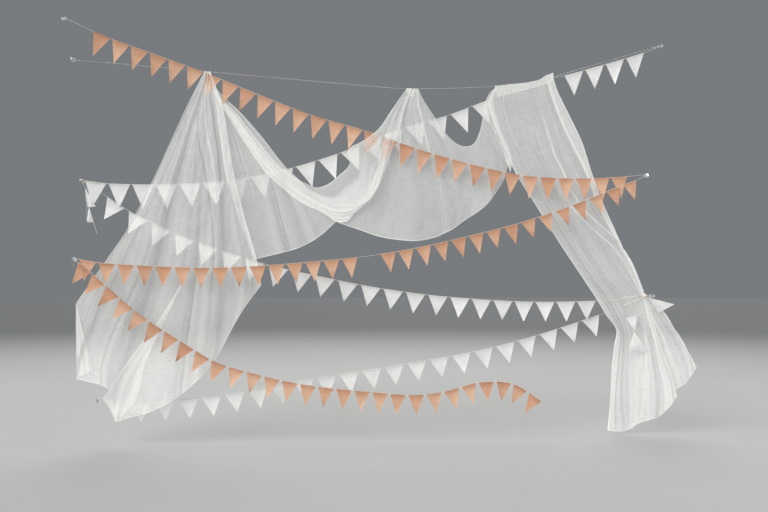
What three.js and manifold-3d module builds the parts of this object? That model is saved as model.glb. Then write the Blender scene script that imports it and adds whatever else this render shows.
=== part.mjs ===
// Garden chuppah canopy: long lengths of sheer cloth hung over a clear line, with six pennant garlands.
// Millimetres, +X along the line, +Y to the back, +Z up. The origin is the middle of the flat back of the
// plate that carries the left end of the line.
import * as THREE from "three";
import { mergeVertices } from "three/addons/utils/BufferGeometryUtils.js";
import Module from "manifold-3d";

const wasm = await Module();
wasm.setup();

// Small real dimensions
const GAP = 0.35;
const CLOTH = 3;
const LINE_RADIUS = 1.2;
const STRING_HEIGHT = 4;
const STRING_DEPTH = 3;
const TIE_RADIUS = 1.7;
const TAIL_RADIUS = 1.5;
const BARE_STEP = 60;
const END_LOOP_RADIUS = 14;
const REST_SEARCH = 150;
const LOOSE_TWINE_STEPS = 14;

// How far a string's end sits out from the middle of its own tie's section, in radii, how far the two ties
// on the line stand apart, in radii, and where they are between the panel's end and the line's knot
const END_IN_TIE = 0.7;
const TIE_SPACING = 3;
const TIE_SHARE = 0.8;

// Screw-eye plates
const PLATE_RADIUS = 24;
const PLATE_THICKNESS = 4;
const NECK_RADIUS = 4;
const NECK_LENGTH = 8;
const EYE_RADIUS = 16;
const EYE_BAR = 3;
const NECK_SINK = 0.5;
const PLATE_SIDES = 16;
const BAR_SIDES = 6;
const RING_STEPS = 14;

// Cloth laid over the line: half the inner width of the fold, its layers, and how far each side hangs
const WRAP_HALF_WIDTH = 9;
const WRAP_LAYERS = 5;
const WRAP_DROP = 85;
const WRAP_FACE = WRAP_HALF_WIDTH + WRAP_LAYERS / 2;

// The folds of the left drape: how many stand side by side, how far they stand off, and the share of the way
// down at which they are full
const DRAPE_FOLDS = 7;
const DRAPE_FOLD_DEPTH = 14;
const FOLDS_FULL_AT = 0.45;

// Pennant sizes: width along the string, and height
const LARGE_COPPER = { width: 175, height: 235 };
const SMALL_COPPER = { width: 160, height: 200 };
const TALL_WHITE = { width: 210, height: 250 };
const WIDE_WHITE = { width: 222, height: 250 };
const SHORT_WHITE = { width: 205, height: 210 };

const LOOKS = {
  steel: { color: 0x9a9c9e, roughness: 0.35, metalness: 1 },
  clear: { color: 0xdfe4e6, roughness: 0.15, metalness: 0 },
  voile: { color: 0xe9ecea, roughness: 0.8, metalness: 0 },
  copper: { color: 0xcf9068, roughness: 0.75, metalness: 0 },
  white: { color: 0xe2dfdc, roughness: 0.85, metalness: 0 },
  twine: { color: 0xd9cbb2, roughness: 0.9, metalness: 0 },
};

const canopy = new THREE.Group();
canopy.name = "chuppah_canopy";
const UP = new THREE.Vector3(0, 0, 1);
const vec = (p) => new THREE.Vector3(...p);

function add(name, geometry, look) {
  const mesh = new THREE.Mesh(geometry, new THREE.MeshStandardMaterial(LOOKS[look]));
  mesh.name = name;
  canopy.add(mesh);
  return mesh;
}

function geometryOf(points, triangles) {
  const geometry = new THREE.BufferGeometry();
  geometry.setAttribute("position", new THREE.Float32BufferAttribute(points.flatMap((p) => p.toArray()), 3));
  geometry.setIndex(triangles.flat());
  return geometry;
}

function solidOf(geometry) {
  const bare = geometry.clone();
  bare.deleteAttribute("normal");
  bare.deleteAttribute("uv");
  const merged = mergeVertices(bare, 1e-4);
  return new wasm.Manifold(
    new wasm.Mesh({
      numProp: 3,
      vertProperties: new Float32Array(merged.attributes.position.array),
      triVerts: new Uint32Array(merged.index.array),
    }),
  );
}

// Joins closed geometries into one solid.
function fuse(geometries) {
  const mesh = geometries.map(solidOf).reduce((joined, solid) => joined.add(solid)).getMesh();
  const geometry = new THREE.BufferGeometry();
  geometry.setAttribute("position", new THREE.Float32BufferAttribute(mesh.vertProperties, 3));
  geometry.setIndex([...mesh.triVerts]);
  return geometry;
}

// A strand of round section along hand-placed points, with a mitred ring at each.
function strand(points, radius, sides = 6) {
  const ring = (k) => {
    const before = points[Math.max(k - 1, 0)];
    const after = points[Math.min(k + 1, points.length - 1)];
    const along = after.clone().sub(before).normalize();
    const across = new THREE.Vector3().crossVectors(along, new THREE.Vector3(0.1, 1, 0.05)).normalize();
    const third = new THREE.Vector3().crossVectors(along, across);
    return Array.from({ length: sides }, (_, i) => {
      const angle = (2 * Math.PI * i) / sides;
      return points[k]
        .clone()
        .addScaledVector(across, radius * Math.cos(angle))
        .addScaledVector(third, radius * Math.sin(angle));
    });
  };
  const last = (points.length - 1) * sides;
  const triangles = [];
  for (let k = 0; k < points.length - 1; k++) {
    for (let i = 0; i < sides; i++) {
      const a = k * sides + i;
      const b = k * sides + ((i + 1) % sides);
      triangles.push([a, b, b + sides], [a, b + sides, a + sides]);
    }
  }
  for (let i = 1; i < sides - 1; i++) {
    triangles.push([0, i + 1, i], [last, last + i, last + i + 1]);
  }
  return geometryOf(points.flatMap((_, k) => ring(k)), triangles);
}

// A screw-eye: a flat round plate, a short neck and a ring that the strings are tied to.
function anchorAt(name, at, outward) {
  const out = vec(outward).normalize();
  const side = UP.clone();
  const centre = vec(at).addScaledVector(out, PLATE_THICKNESS + NECK_LENGTH + EYE_RADIUS);
  const normal = new THREE.Vector3().crossVectors(out, side);
  const turn = (axis) => new THREE.Quaternion().setFromUnitVectors(new THREE.Vector3(0, 1, 0), axis);
  const plate = new THREE.CylinderGeometry(PLATE_RADIUS, PLATE_RADIUS, PLATE_THICKNESS, PLATE_SIDES)
    .applyQuaternion(turn(out))
    .translate(...vec(at).addScaledVector(out, PLATE_THICKNESS / 2).toArray());
  const neck = new THREE.CylinderGeometry(NECK_RADIUS, NECK_RADIUS, NECK_LENGTH + 2 * NECK_SINK, BAR_SIDES)
    .applyQuaternion(turn(out))
    .translate(...vec(at).addScaledVector(out, PLATE_THICKNESS + NECK_LENGTH / 2).toArray());
  const eye = new THREE.TorusGeometry(EYE_RADIUS, EYE_BAR, BAR_SIDES, RING_STEPS)
    .applyMatrix4(new THREE.Matrix4().makeBasis(out, side, normal))
    .translate(...centre.toArray());
  add(name, fuse([plate, neck, eye]), "steel");
  return { centre, out, side };
}

// A turn of string round a bar or a line, with the point where the string leaves it.
function tiedRound(on, bar, barRadius, towards, radius) {
  const loopRadius = barRadius + GAP + radius;
  const leave = vec(towards).sub(on);
  leave.addScaledVector(bar, -leave.dot(bar)).normalize();
  const across = new THREE.Vector3().crossVectors(bar, leave);
  const loop = new THREE.TorusGeometry(loopRadius, radius, 5, 10)
    .applyMatrix4(new THREE.Matrix4().makeBasis(leave, across, bar))
    .translate(...on.toArray());
  return { loop, start: on.clone().addScaledVector(leave, loopRadius + END_IN_TIE * radius) };
}

// The same on the ring of a screw-eye, at an angle from the ring's outermost point.
function tiedTo(anchor, angleDegrees, towards, radius = TIE_RADIUS) {
  const angle = THREE.MathUtils.degToRad(angleDegrees);
  const [cos, sin] = [Math.cos(angle), Math.sin(angle)];
  const radial = anchor.out.clone().multiplyScalar(cos).addScaledVector(anchor.side, sin);
  const bar = anchor.out.clone().multiplyScalar(-sin).addScaledVector(anchor.side, cos);
  const on = anchor.centre.clone().addScaledVector(radial, EYE_RADIUS);
  return tiedRound(on, bar, EYE_BAR, towards, radius);
}

// A loop at a string's free end, for a hook to take.
function endLoop(last) {
  const centre = vec(last).add(new THREE.Vector3(END_LOOP_RADIUS, 0, -END_LOOP_RADIUS));
  const loop = new THREE.TorusGeometry(END_LOOP_RADIUS, TIE_RADIUS, 5, 12)
    .rotateX(Math.PI / 2)
    .translate(...centre.toArray());
  const start = centre.add(new THREE.Vector3(-1, 0, 1).setLength(END_LOOP_RADIUS));
  return { loop, start };
}

// A garland: a string of nearly square section and the pennants folded over it, in one piece. route is the
// string from one end to the other, and bare is the run before the first pennant. bow is how far the middle
// pennants have slid along the string from even spacing. The pennants hang square to the string where plumb
// is 0, and straight down where it is 1.
function garlandGeometry(route, size, { bare, pitch, count, bow = 0, plumb = 0 }) {
  const curve = new THREE.CatmullRomCurve3(route, false, "centripetal");
  const length = curve.getLength();
  const stations = [];
  const bareRun = (from, to) => {
    const steps = Math.ceil((to - from) / BARE_STEP);
    for (let i = 0; i < steps; i++) {
      stations.push({ at: from + ((to - from) * i) / steps, pennant: false });
    }
  };
  let reached = 0;
  for (let i = 0; i < count; i++) {
    const last = count - 1;
    const left = bare + i * pitch + (4 * bow * i * (last - i)) / last ** 2;
    bareRun(reached, left);
    stations.push({ at: left, pennant: true });
    reached = left + size.width;
  }
  bareRun(reached, length);
  stations.push({ at: length, pennant: false });

  const points = [];
  const triangles = [];
  const frameAt = (point, along) => {
    const front = new THREE.Vector3().crossVectors(along, UP).normalize();
    return { point, front, up: new THREE.Vector3().crossVectors(front, along) };
  };
  const frames = stations.map(({ at }) => {
    const share = Math.min(at / length, 1);
    return frameAt(curve.getPointAt(share), curve.getTangentAt(share));
  });
  for (const { point, front, up } of frames) {
    for (const [u, f] of [[1, 1], [1, -1], [-1, -1], [-1, 1]]) {
      points.push(
        point
          .clone()
          .addScaledVector(up, (u * STRING_HEIGHT) / 2)
          .addScaledVector(front, (f * STRING_DEPTH) / 2),
      );
    }
  }
  for (let k = 0; k < stations.length - 1; k++) {
    const [tf, tb, bb, bf] = [0, 1, 2, 3].map((i) => 4 * k + i);
    const [tf2, tb2, bb2, bf2] = [4, 5, 6, 7].map((i) => 4 * k + i);
    triangles.push([tf, tf2, tb2], [tf, tb2, tb]);
    triangles.push([tf, bf, bf2], [tf, bf2, tf2]);
    triangles.push([tb, bb2, bb], [tb, tb2, bb2]);
    if (!stations[k].pennant) {
      triangles.push([bf, bb2, bf2], [bf, bb, bb2]);
      continue;
    }
    const across = frames[k + 1].point.clone().sub(frames[k].point);
    const middle = frames[k].point.clone().addScaledVector(across, 0.5);
    const { front, up } = frameAt(middle, across.normalize());
    const apex = middle.clone().add(up.lerp(UP, plumb).setLength(-size.height));
    const af = points.push(apex.clone().addScaledVector(front, STRING_DEPTH / 2)) - 1;
    const ab = points.push(apex.clone().addScaledVector(front, -STRING_DEPTH / 2)) - 1;
    triangles.push([bf, af, bf2], [bb, bb2, ab]);
    triangles.push([bf, bb, ab], [bf, ab, af]);
    triangles.push([bf2, af, ab], [bf2, ab, bb2]);
  }
  const end = 4 * (stations.length - 1);
  triangles.push([0, 1, 2], [0, 2, 3], [end, end + 3, end + 2], [end, end + 2, end + 1]);
  return geometryOf(points, triangles);
}

// Rows of points across a cloth: ribs run from its top edge to its hem, and folds stand off it to the front
// and back, growing from nothing at the top.
function clothGrid(ribs, across, down, folds = 0, depth = 0) {
  const curves = ribs.map((rib) => new THREE.CatmullRomCurve3(rib.map(vec), false, "centripetal"));
  return Array.from({ length: down + 1 }, (_, j) => {
    const row = new THREE.CatmullRomCurve3(curves.map((c) => c.getPointAt(j / down)), false, "centripetal");
    const grown = depth * THREE.MathUtils.smoothstep(j / down, 0, FOLDS_FULL_AT);
    return Array.from({ length: across + 1 }, (_, i) => {
      const point = row.getPoint(i / across);
      point.y += grown * Math.sin((2 * Math.PI * folds * i) / across);
      return point;
    });
  });
}

// A closed sheet of cloth through a grid of points, as thick as the cloth from front to back.
function sheet(grid, thickness = CLOTH) {
  const rows = grid.length - 1;
  const columns = grid[0].length - 1;
  const points = [];
  for (const side of [-1, 1]) {
    for (const row of grid) {
      points.push(...row.map((p) => new THREE.Vector3(p.x, p.y + (side * thickness) / 2, p.z)));
    }
  }
  const behind = (rows + 1) * (columns + 1);
  const at = (i, j) => j * (columns + 1) + i;
  const triangles = [];
  for (let j = 0; j < rows; j++) {
    for (let i = 0; i < columns; i++) {
      const [a, b, c, d] = [at(i, j), at(i + 1, j), at(i + 1, j + 1), at(i, j + 1)];
      triangles.push([a, d, c], [a, c, b]);
      triangles.push([a + behind, c + behind, d + behind], [a + behind, b + behind, c + behind]);
    }
  }
  for (let i = 0; i < columns; i++) {
    const [a, b] = [at(i, 0), at(i + 1, 0)];
    const [d, c] = [at(i, rows), at(i + 1, rows)];
    triangles.push([a, b, b + behind], [a, b + behind, a + behind]);
    triangles.push([d, d + behind, c + behind], [d, c + behind, c]);
  }
  for (let j = 0; j < rows; j++) {
    const [a, d] = [at(0, j), at(0, j + 1)];
    const [b, c] = [at(columns, j), at(columns, j + 1)];
    triangles.push([a, a + behind, d + behind], [a, d + behind, d]);
    triangles.push([b, c, c + behind], [b, c + behind, b + behind]);
  }
  return geometryOf(points, triangles);
}

// Cloth folded over the line between two points of it: an upside-down U that hangs down both sides.
function wrapOver(name, from, to) {
  const start = vec(from);
  const run = vec(to).sub(start);
  const shape = new THREE.Shape();
  const outer = WRAP_HALF_WIDTH + WRAP_LAYERS;
  const inner = LINE_RADIUS + GAP;
  shape.moveTo(-outer, -WRAP_DROP);
  shape.lineTo(-WRAP_HALF_WIDTH, -WRAP_DROP);
  shape.lineTo(-WRAP_HALF_WIDTH, 0);
  shape.absellipse(0, 0, WRAP_HALF_WIDTH, inner, Math.PI, 0, true);
  shape.lineTo(WRAP_HALF_WIDTH, -WRAP_DROP);
  shape.lineTo(outer, -WRAP_DROP);
  shape.lineTo(outer, 0);
  shape.absellipse(0, 0, outer, inner + WRAP_LAYERS, 0, Math.PI, false);
  const along = run.clone().normalize();
  const upright = new THREE.Vector3().crossVectors(along, new THREE.Vector3(0, 1, 0));
  const geometry = new THREE.ExtrudeGeometry(shape, {
    depth: run.length(),
    bevelEnabled: false,
    curveSegments: 6,
  });
  geometry
    .applyMatrix4(new THREE.Matrix4().makeBasis(new THREE.Vector3(0, 1, 0), upright, along))
    .translate(...start.toArray());
  add(name, geometry, "voile");
  // The bottom edge of the front or back side, at a share of its length, just under it.
  return (share, front = true) =>
    start
      .clone()
      .addScaledVector(run, share)
      .addScaledVector(upright, -WRAP_DROP - GAP)
      .add(new THREE.Vector3(0, front ? -WRAP_FACE : WRAP_FACE, 0))
      .toArray();
}

// The screw-eyes at the left and at the right
const leftLineAnchor = anchorAt("left_line_anchor", [0, 0, 0], [1, 0, 0]);
const leftTopAnchor = anchorAt("left_top_garland_anchor", [-60, -90, 385], [0.75, -0.66, 0]);
const leftMiddleAnchor = anchorAt("left_white_garland_anchor", [95, 50, -1225], [1, 0, 0]);
const leftLowAnchor = anchorAt("left_copper_garland_anchor", [105, -215, -2030], [0.6, -0.8, 0]);
const leftFootAnchor = anchorAt("left_bottom_garland_anchor", [290, 20, -3440], [1, 0, 0]);
const rightLineAnchor = anchorAt("right_line_anchor", [6360, 0, 395], [-1, 0, 0]);
const rightGarlandAnchor = anchorAt("right_copper_garland_anchor", [6058, -218, -1093], [-0.8, -0.6, 0]);
const tiebackAnchor = anchorAt("tieback_anchor", [6200, -60, -2400], [-1, 0, 0]);

// The carrying line, straight between the places where the cloth bears on it
const PEAK_1 = [[1330, 0, -69], [1390, 0, -72.5]];
const PEAK_2 = [[3445, 0, -179.5], [3565, 0, -177]];
const PANEL_TOP = [[4430, 0, -118], [4990, 0, -30]];
const TOP_KNOT = [5050, 0, -8];
{
  const left = tiedTo(leftLineAnchor, 0, PEAK_1[0], LINE_RADIUS);
  const right = tiedTo(rightLineAnchor, 20, TOP_KNOT, LINE_RADIUS);
  const points = [left.start, ...[...PEAK_1, ...PEAK_2, ...PANEL_TOP, TOP_KNOT].map(vec), right.start];
  add("carrying_line", fuse([left.loop, strand(points, LINE_RADIUS), right.loop]), "clear");
}

// The cloth over the line
const peak1 = wrapOver("peak_1_wrap", ...PEAK_1);
const peak2 = wrapOver("peak_2_wrap", ...PEAK_2);
const panelTop = wrapOver("right_panel_top_hem", ...PANEL_TOP);

// The left drape fans from the first peak to its slanting hem.
const LEFT_DRAPE = [
  [[1150, -40, -460], [820, -70, -1230], [580, -90, -1730], [380, -105, -2040], [110, -120, -2450]],
  [[900, -60, -1210], [500, -80, -2130], [180, -100, -2930], [120, -105, -3200]],
  [[1000, -75, -1210], [720, -110, -2230], [440, -130, -3080], [428, -135, -3312]],
  [[1080, -60, -1210], [860, -90, -2330], [610, -120, -3330], [505, -125, -3636]],
  [[1200, -75, -1210], [1090, -115, -2230], [970, -135, -3030], [890, -140, -3520]],
  [[1340, -60, -1210], [1290, -95, -2230], [1230, -120, -2930], [1190, -125, -3330]],
  [[1470, -75, -1210], [1490, -110, -2030], [1480, -130, -2630], [1460, -140, -3040]],
  [[1560, -60, -1200], [1680, -85, -1920], [1740, -100, -2330], [1710, -110, -2580]],
  [[1510, -40, -420], [1640, -65, -1160], [1740, -80, -1560], [1870, -95, -2010], [1920, -100, -2280]],
];
const leftDrapeRibs = LEFT_DRAPE.map((rib, k) => [peak1(k / (LEFT_DRAPE.length - 1)), ...rib]);
const leftDrapeGrid = clothGrid(leftDrapeRibs, 28, 10, DRAPE_FOLDS, DRAPE_FOLD_DEPTH);
const leftDrape = add("left_drape", sheet(leftDrapeGrid), "voile");

// Moves a mesh straight back until it rests on another one, a hair's gap away.
function restOn(mesh, behind) {
  const fixed = solidOf(behind.geometry);
  let moved = 0;
  let gap = Infinity;
  while (gap > 1.5 * GAP) {
    gap = solidOf(mesh.geometry).translate([0, moved, 0]).minGap(fixed, REST_SEARCH);
    moved += gap - GAP;
  }
  mesh.geometry.translate(0, moved, 0);
}

// Parts of the left drape's edges that lie folded over its front
const DRAPE_CORNER_FOLD = [
  [[98, -200, -2460], [110, -200, -2800], [128, -200, -3190]],
  [[102, -200, -2462], [190, -200, -2800], [275, -200, -3130]],
];
const DRAPE_DIAGONAL_FOLD = [
  [[1135, -205, -2250], [900, -215, -2640], [640, -225, -3000], [376, -230, -3401], [444, -230, -3518],
    [478, -230, -3600]],
  [[1150, -205, -2255], [940, -215, -2700], [780, -225, -3080], [697, -230, -3416], [560, -230, -3612]],
];
restOn(add("left_drape_corner_fold", sheet(clothGrid(DRAPE_CORNER_FOLD, 2, 6)), "voile"), leftDrape);
restOn(add("left_drape_diagonal_fold", sheet(clothGrid(DRAPE_DIAGONAL_FOLD, 3, 8)), "voile"), leftDrape);

// The bunched upper band of the left swag, from behind the first peak down to the low point
// (its full width and half its thickness at even steps, and the line that its middle follows)
const BAND_SIZES = [[60, 3], [75, 10], [110, 16], [135, 20], [130, 20], [125, 20], [150, 20], [190, 16]];
const BAND_PATH = [
  [1500, 10, -300], [1605, 8, -520], [1750, 6, -700], [1930, 0, -960],
  [2150, -10, -1160], [2350, -25, -1330], [2560, -40, -1450], [2760, -50, -1530],
];
function bandSections() {
  const start = vec(peak1(0.75, false));
  const edge = vec(PEAK_1[1]).sub(vec(PEAK_1[0])).normalize();
  const path = new THREE.CatmullRomCurve3([start, ...BAND_PATH.map(vec)], false, "centripetal");
  const sections = BAND_PATH.length * 2;
  return Array.from({ length: sections + 1 }, (_, k) => {
    const share = k / sections;
    const middle = path.getPointAt(share);
    const along = path.getTangentAt(share);
    if (k === 0) along.set(edge.z, 0, -edge.x);
    const wide = new THREE.Vector3(-along.z, 0, along.x).normalize();
    const place = share * (BAND_SIZES.length - 1);
    const low = BAND_SIZES[Math.floor(place)];
    const high = BAND_SIZES[Math.ceil(place)];
    const blend = place - Math.floor(place);
    return {
      middle,
      wide,
      width: THREE.MathUtils.lerp(low[0], high[0], blend),
      half: THREE.MathUtils.lerp(low[1], high[1], blend),
    };
  });
}
const BAND_SIDES = 10;
const sections = bandSections();
{
  const points = sections.flatMap(({ middle, wide, width, half }) =>
    Array.from({ length: BAND_SIDES }, (_, i) => {
      const angle = (2 * Math.PI * (i + 0.5)) / BAND_SIDES;
      return middle
        .clone()
        .addScaledVector(wide, (width / 2) * Math.cos(angle))
        .add(new THREE.Vector3(0, half * Math.sin(angle), 0));
    }),
  );
  const triangles = [];
  for (let k = 0; k < sections.length - 1; k++) {
    for (let i = 0; i < BAND_SIDES; i++) {
      const a = k * BAND_SIDES + i;
      const b = k * BAND_SIDES + ((i + 1) % BAND_SIDES);
      triangles.push([a, b + BAND_SIDES, b], [a, a + BAND_SIDES, b + BAND_SIDES]);
    }
  }
  const last = (sections.length - 1) * BAND_SIDES;
  for (let i = 1; i < BAND_SIDES - 1; i++) {
    triangles.push([0, i, i + 1], [last, last + i + 1, last + i]);
  }
  add("left_swag_band", geometryOf(points, triangles), "voile");
}

// The single layer that hangs from the band's lower edge, down to its slanting hem
const CURTAIN_HEM = new THREE.CatmullRomCurve3(
  [[1800, 8, -2040], [2070, 5, -1960], [2250, 0, -1910], [2450, -10, -1820], [2720, -35, -1670]].map(vec),
);
const BAND_EDGE = Math.cos(Math.PI / BAND_SIDES);
{
  const top = sections.slice(3);
  const columns = top.map(({ middle, wide, width }, k) => {
    const under = middle.clone().addScaledVector(wide, (-BAND_EDGE * width) / 2 - GAP);
    const hem = CURTAIN_HEM.getPoint(k / (top.length - 1));
    return Array.from({ length: 7 }, (_, j) => under.clone().lerp(hem, j / 6));
  });
  add("left_swag_curtain", sheet(columns[0].map((_, j) => columns.map((column) => column[j]))), "voile");
}

// The fold that falls from the second peak to the low point of the left swag, in front of the top garland
const PEAK_2_FOLD = [
  [[3280, -60, -430], [3125, -115, -650], [2950, -130, -790], [2820, -130, -885], [2775, -115, -1080],
    [2765, -90, -1280], [2806, -62, -1430]],
  [[3300, -90, -560], [3120, -130, -860], [2960, -125, -1130], [2890, -100, -1330], [2800, -60, -1500]],
  [[3330, -120, -650], [3210, -140, -1000], [3070, -120, -1300], [2930, -90, -1480], [2780, -58, -1565]],
  [[3385, -135, -640], [3330, -140, -860], [3255, -130, -1125], [3180, -115, -1370], [3040, -90, -1520],
    [2900, -72, -1605], [2752, -55, -1635]],
];
const peak2FoldRibs = PEAK_2_FOLD.map((rib, k) => [peak2((0.4 * k) / (PEAK_2_FOLD.length - 1)), ...rib]);
add("peak_2_front_fold", sheet(clothGrid(peak2FoldRibs, 10, 12)), "voile");

// The right swag hangs behind that fold and the top garland, from the second peak to the right panel. Its
// upper edge is U-shaped.
const RIGHT_SWAG_PEAK_RIBS = [
  [[3360, -28, -500], [3300, -40, -850], [3120, -40, -1330], [2900, -35, -1560], [2800, -32, -1665]],
  [[3420, -30, -600], [3350, -48, -1100], [3230, -48, -1450], [3150, -45, -1755]],
  [[3450, -30, -500], [3440, -45, -850], [3390, -50, -1330], [3340, -52, -1805]],
  [[3480, -40, -850], [3500, -50, -1380], [3490, -50, -1805]],
  [[3570, -40, -790], [3640, -50, -1320], [3650, -50, -1790]],
  [[3630, -35, -730], [3770, -50, -1270], [3830, -50, -1740]],
];
const RIGHT_SWAG_EDGE_RIBS = [
  [[3562, -13, -270], [3602, -20, -490], [3740, -35, -840], [3910, -50, -1260], [4030, -50, -1650]],
  [[3700, -15, -400], [3900, -45, -830], [4050, -55, -1260], [4150, -50, -1560]],
  [[3860, -25, -650], [4060, -50, -990], [4230, -50, -1460]],
  [[4010, -30, -750], [4150, -55, -1050], [4320, -50, -1380]],
  [[4110, -30, -775], [4240, -55, -1040], [4380, -50, -1280]],
  [[4215, -30, -690], [4320, -50, -930], [4440, -50, -1180]],
  [[4270, -25, -490], [4370, -45, -770], [4490, -50, -1070]],
  [[4310, -20, -340], [4400, -40, -600], [4530, -50, -960]],
];
const rightSwagRibs = [
  ...RIGHT_SWAG_PEAK_RIBS.map((rib, k) => {
    const [x, y, z] = peak2(0.45 + 0.09 * k);
    return [[x, y, z - 0.35 * k], ...rib];
  }),
  ...RIGHT_SWAG_EDGE_RIBS,
];
add("right_swag", sheet(clothGrid(rightSwagRibs, 30, 10)), "voile");

// The right panel falls from the line to the tieback, and the tail from the tieback to the ground.
const TIE_ROW = [[5600, -60, -2520], [5750, -52, -2480], [5920, -46, -2470], [6150, -42, -2490]];
const RIGHT_PANEL = [
  [[4335, -20, -330], [4400, -35, -510], [4530, -50, -820], [4640, -55, -1060], [4910, -60, -1490],
    [5130, -60, -1830], [5370, -60, -2190]],
  [[4670, -40, -490], [5000, -60, -1250], [5360, -60, -1840], [5630, -55, -2290]],
  [[4980, -40, -480], [5270, -55, -1130], [5610, -55, -1730], [5830, -50, -2200]],
  [[5140, -15, -170], [5280, -30, -450], [5400, -40, -710], [5510, -45, -1050], [5640, -45, -1400],
    [5850, -45, -1670], [5970, -40, -2010], [6100, -40, -2330]],
];
const panelRibs = RIGHT_PANEL.map((rib, k) => [panelTop(k / (RIGHT_PANEL.length - 1)), ...rib, TIE_ROW[k]]);
add("right_panel", sheet(clothGrid(panelRibs, 15, 14)), "voile");

const RIGHT_TAIL = [
  [[5650, -65, -2620], [5750, -75, -2770], [5700, -105, -3110], [5650, -140, -3580], [5600, -160, -3872]],
  [[5820, -70, -2720], [5830, -130, -3090], [5820, -190, -3510], [5840, -220, -3876]],
  [[6010, -80, -2720], [6150, -150, -3120], [6220, -200, -3440], [6240, -230, -3680]],
  [[6250, -60, -2590], [6370, -90, -2760], [6500, -130, -2970], [6640, -160, -3170]],
];
const tailRibs = RIGHT_TAIL.map((rib, k) => [TIE_ROW[k], ...rib]);
add("right_tail", sheet(clothGrid(tailRibs, 15, 9)).translate(0, 0, -GAP), "voile");

// The garlands. Each end is a tie round an eye or the line, or only the string's own end. The route lists the
// string's points between the ties.
function garland(name, look, size, layout, from, route, to) {
  const points = [...(from ? [from.start] : []), ...route.map(vec), ...(to ? [to.start] : [])];
  const ties = [from, to].filter(Boolean).map(({ loop }) => loop);
  const body = garlandGeometry(points, size, layout);
  add(name, ties.length ? fuse([body, ...ties]) : body, look);
}

const TOP_COPPER_ROUTE = [
  [250, -75, 270], [790, -40, 90], [1295, -2.2, -70], [1880, -35, -300], [2430, -60, -505], [2980, -85, -655],
  [3540, -112, -840], [4100, -140, -992], [4670, -165, -1108], [5270, -192, -1136], [5800, -226, -1110],
];
garland(
  "top_copper_garland", "copper", LARGE_COPPER, { bare: 279, pitch: 194.7, count: 30, bow: -7 },
  tiedTo(leftTopAnchor, 0, TOP_COPPER_ROUTE[0]),
  TOP_COPPER_ROUTE,
  tiedTo(rightGarlandAnchor, 25, TOP_COPPER_ROUTE[TOP_COPPER_ROUTE.length - 1]),
);

// The middle copper garland is two lengths that meet end to end.
const MIDDLE_MEETING = [3000, -260, -1983];
const MIDDLE_COPPER_LEFT = [
  [330, -262, -2060], [890, -262, -2095], [1420, -262, -2110], [1950, -262, -2085], [2530, -262, -2035],
  [2870, -260, -2000], MIDDLE_MEETING,
];
const MIDDLE_COPPER_RIGHT = [
  [MIDDLE_MEETING[0] + GAP, MIDDLE_MEETING[1], MIDDLE_MEETING[2]], [3120, -260, -1965], [3490, -262, -1900],
  [4080, -263, -1765], [4630, -264, -1620], [5200, -262, -1430], [5760, -258, -1206], [5950, -254, -1137],
];
garland(
  "middle_copper_garland_left", "copper", SMALL_COPPER, { bare: 27, pitch: 184.1, count: 15, bow: -13 },
  tiedTo(leftLowAnchor, 15, MIDDLE_COPPER_LEFT[0]),
  MIDDLE_COPPER_LEFT,
  null,
);
garland(
  "middle_copper_garland_right", "copper", SMALL_COPPER, { bare: 133, pitch: 196.2, count: 15, bow: -35 },
  null,
  MIDDLE_COPPER_RIGHT,
  tiedTo(rightGarlandAnchor, -25, MIDDLE_COPPER_RIGHT[MIDDLE_COPPER_RIGHT.length - 1]),
);

const LOW_COPPER = [
  [158, -276, -2064], [190, -281, -2090], [290, -281, -2170], [550, -280, -2410], [820, -280, -2632],
  [1130, -280, -2830], [1460, -280, -3040], [1780, -280, -3145], [2280, -280, -3270], [2720, -280, -3335],
  [3070, -280, -3370], [3440, -280, -3410], [3800, -280, -3380], [4150, -280, -3290], [4530, -280, -3310],
  [4830, -280, -3500],
];
garland(
  "low_copper_garland", "copper", SMALL_COPPER, { bare: 36, pitch: 183.8, count: 28, bow: -50 },
  tiedTo(leftLowAnchor, -40, LOW_COPPER[0]),
  LOW_COPPER,
  endLoop(LOW_COPPER[LOW_COPPER.length - 1]),
);

const BOTTOM_WHITE = [
  [630, 20, -3460], [1070, 18, -3440], [1530, 16, -3400], [1950, 15, -3330], [2430, 14, -3260],
  [2910, 12, -3190], [3390, 10, -3120], [3880, 10, -3045], [4380, 8, -2950], [4860, 5, -2830],
  [5610, 8, -2600], [6000, 10, -2470], [6135, -8, -2425],
];
garland(
  "bottom_white_garland", "white", SHORT_WHITE, { bare: 53, pitch: 241.9, count: 22, bow: -61 },
  tiedTo(leftFootAnchor, 0, BOTTOM_WHITE[0]),
  BOTTOM_WHITE,
  tiedTo(tiebackAnchor, -65, BOTTOM_WHITE[BOTTOM_WHITE.length - 1]),
);

const MIDDLE_WHITE = [
  [220, 66, -1290], [330, 66, -1360], [590, 60, -1530], [1090, 48, -1770], [1880, 32, -2040],
  [2530, 0, -2190], [3200, -25, -2320], [3940, -45, -2410], [4810, -65, -2460], [5520, -95, -2450],
  [5820, -98, -2430],
];
garland(
  "middle_white_garland", "white", SHORT_WHITE, { bare: 265, pitch: 244.2, count: 22, bow: 85 },
  tiedTo(leftMiddleAnchor, -30, MIDDLE_WHITE[0]),
  MIDDLE_WHITE,
  tiedTo(tiebackAnchor, 40, MIDDLE_WHITE[MIDDLE_WHITE.length - 1]),
);

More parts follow.
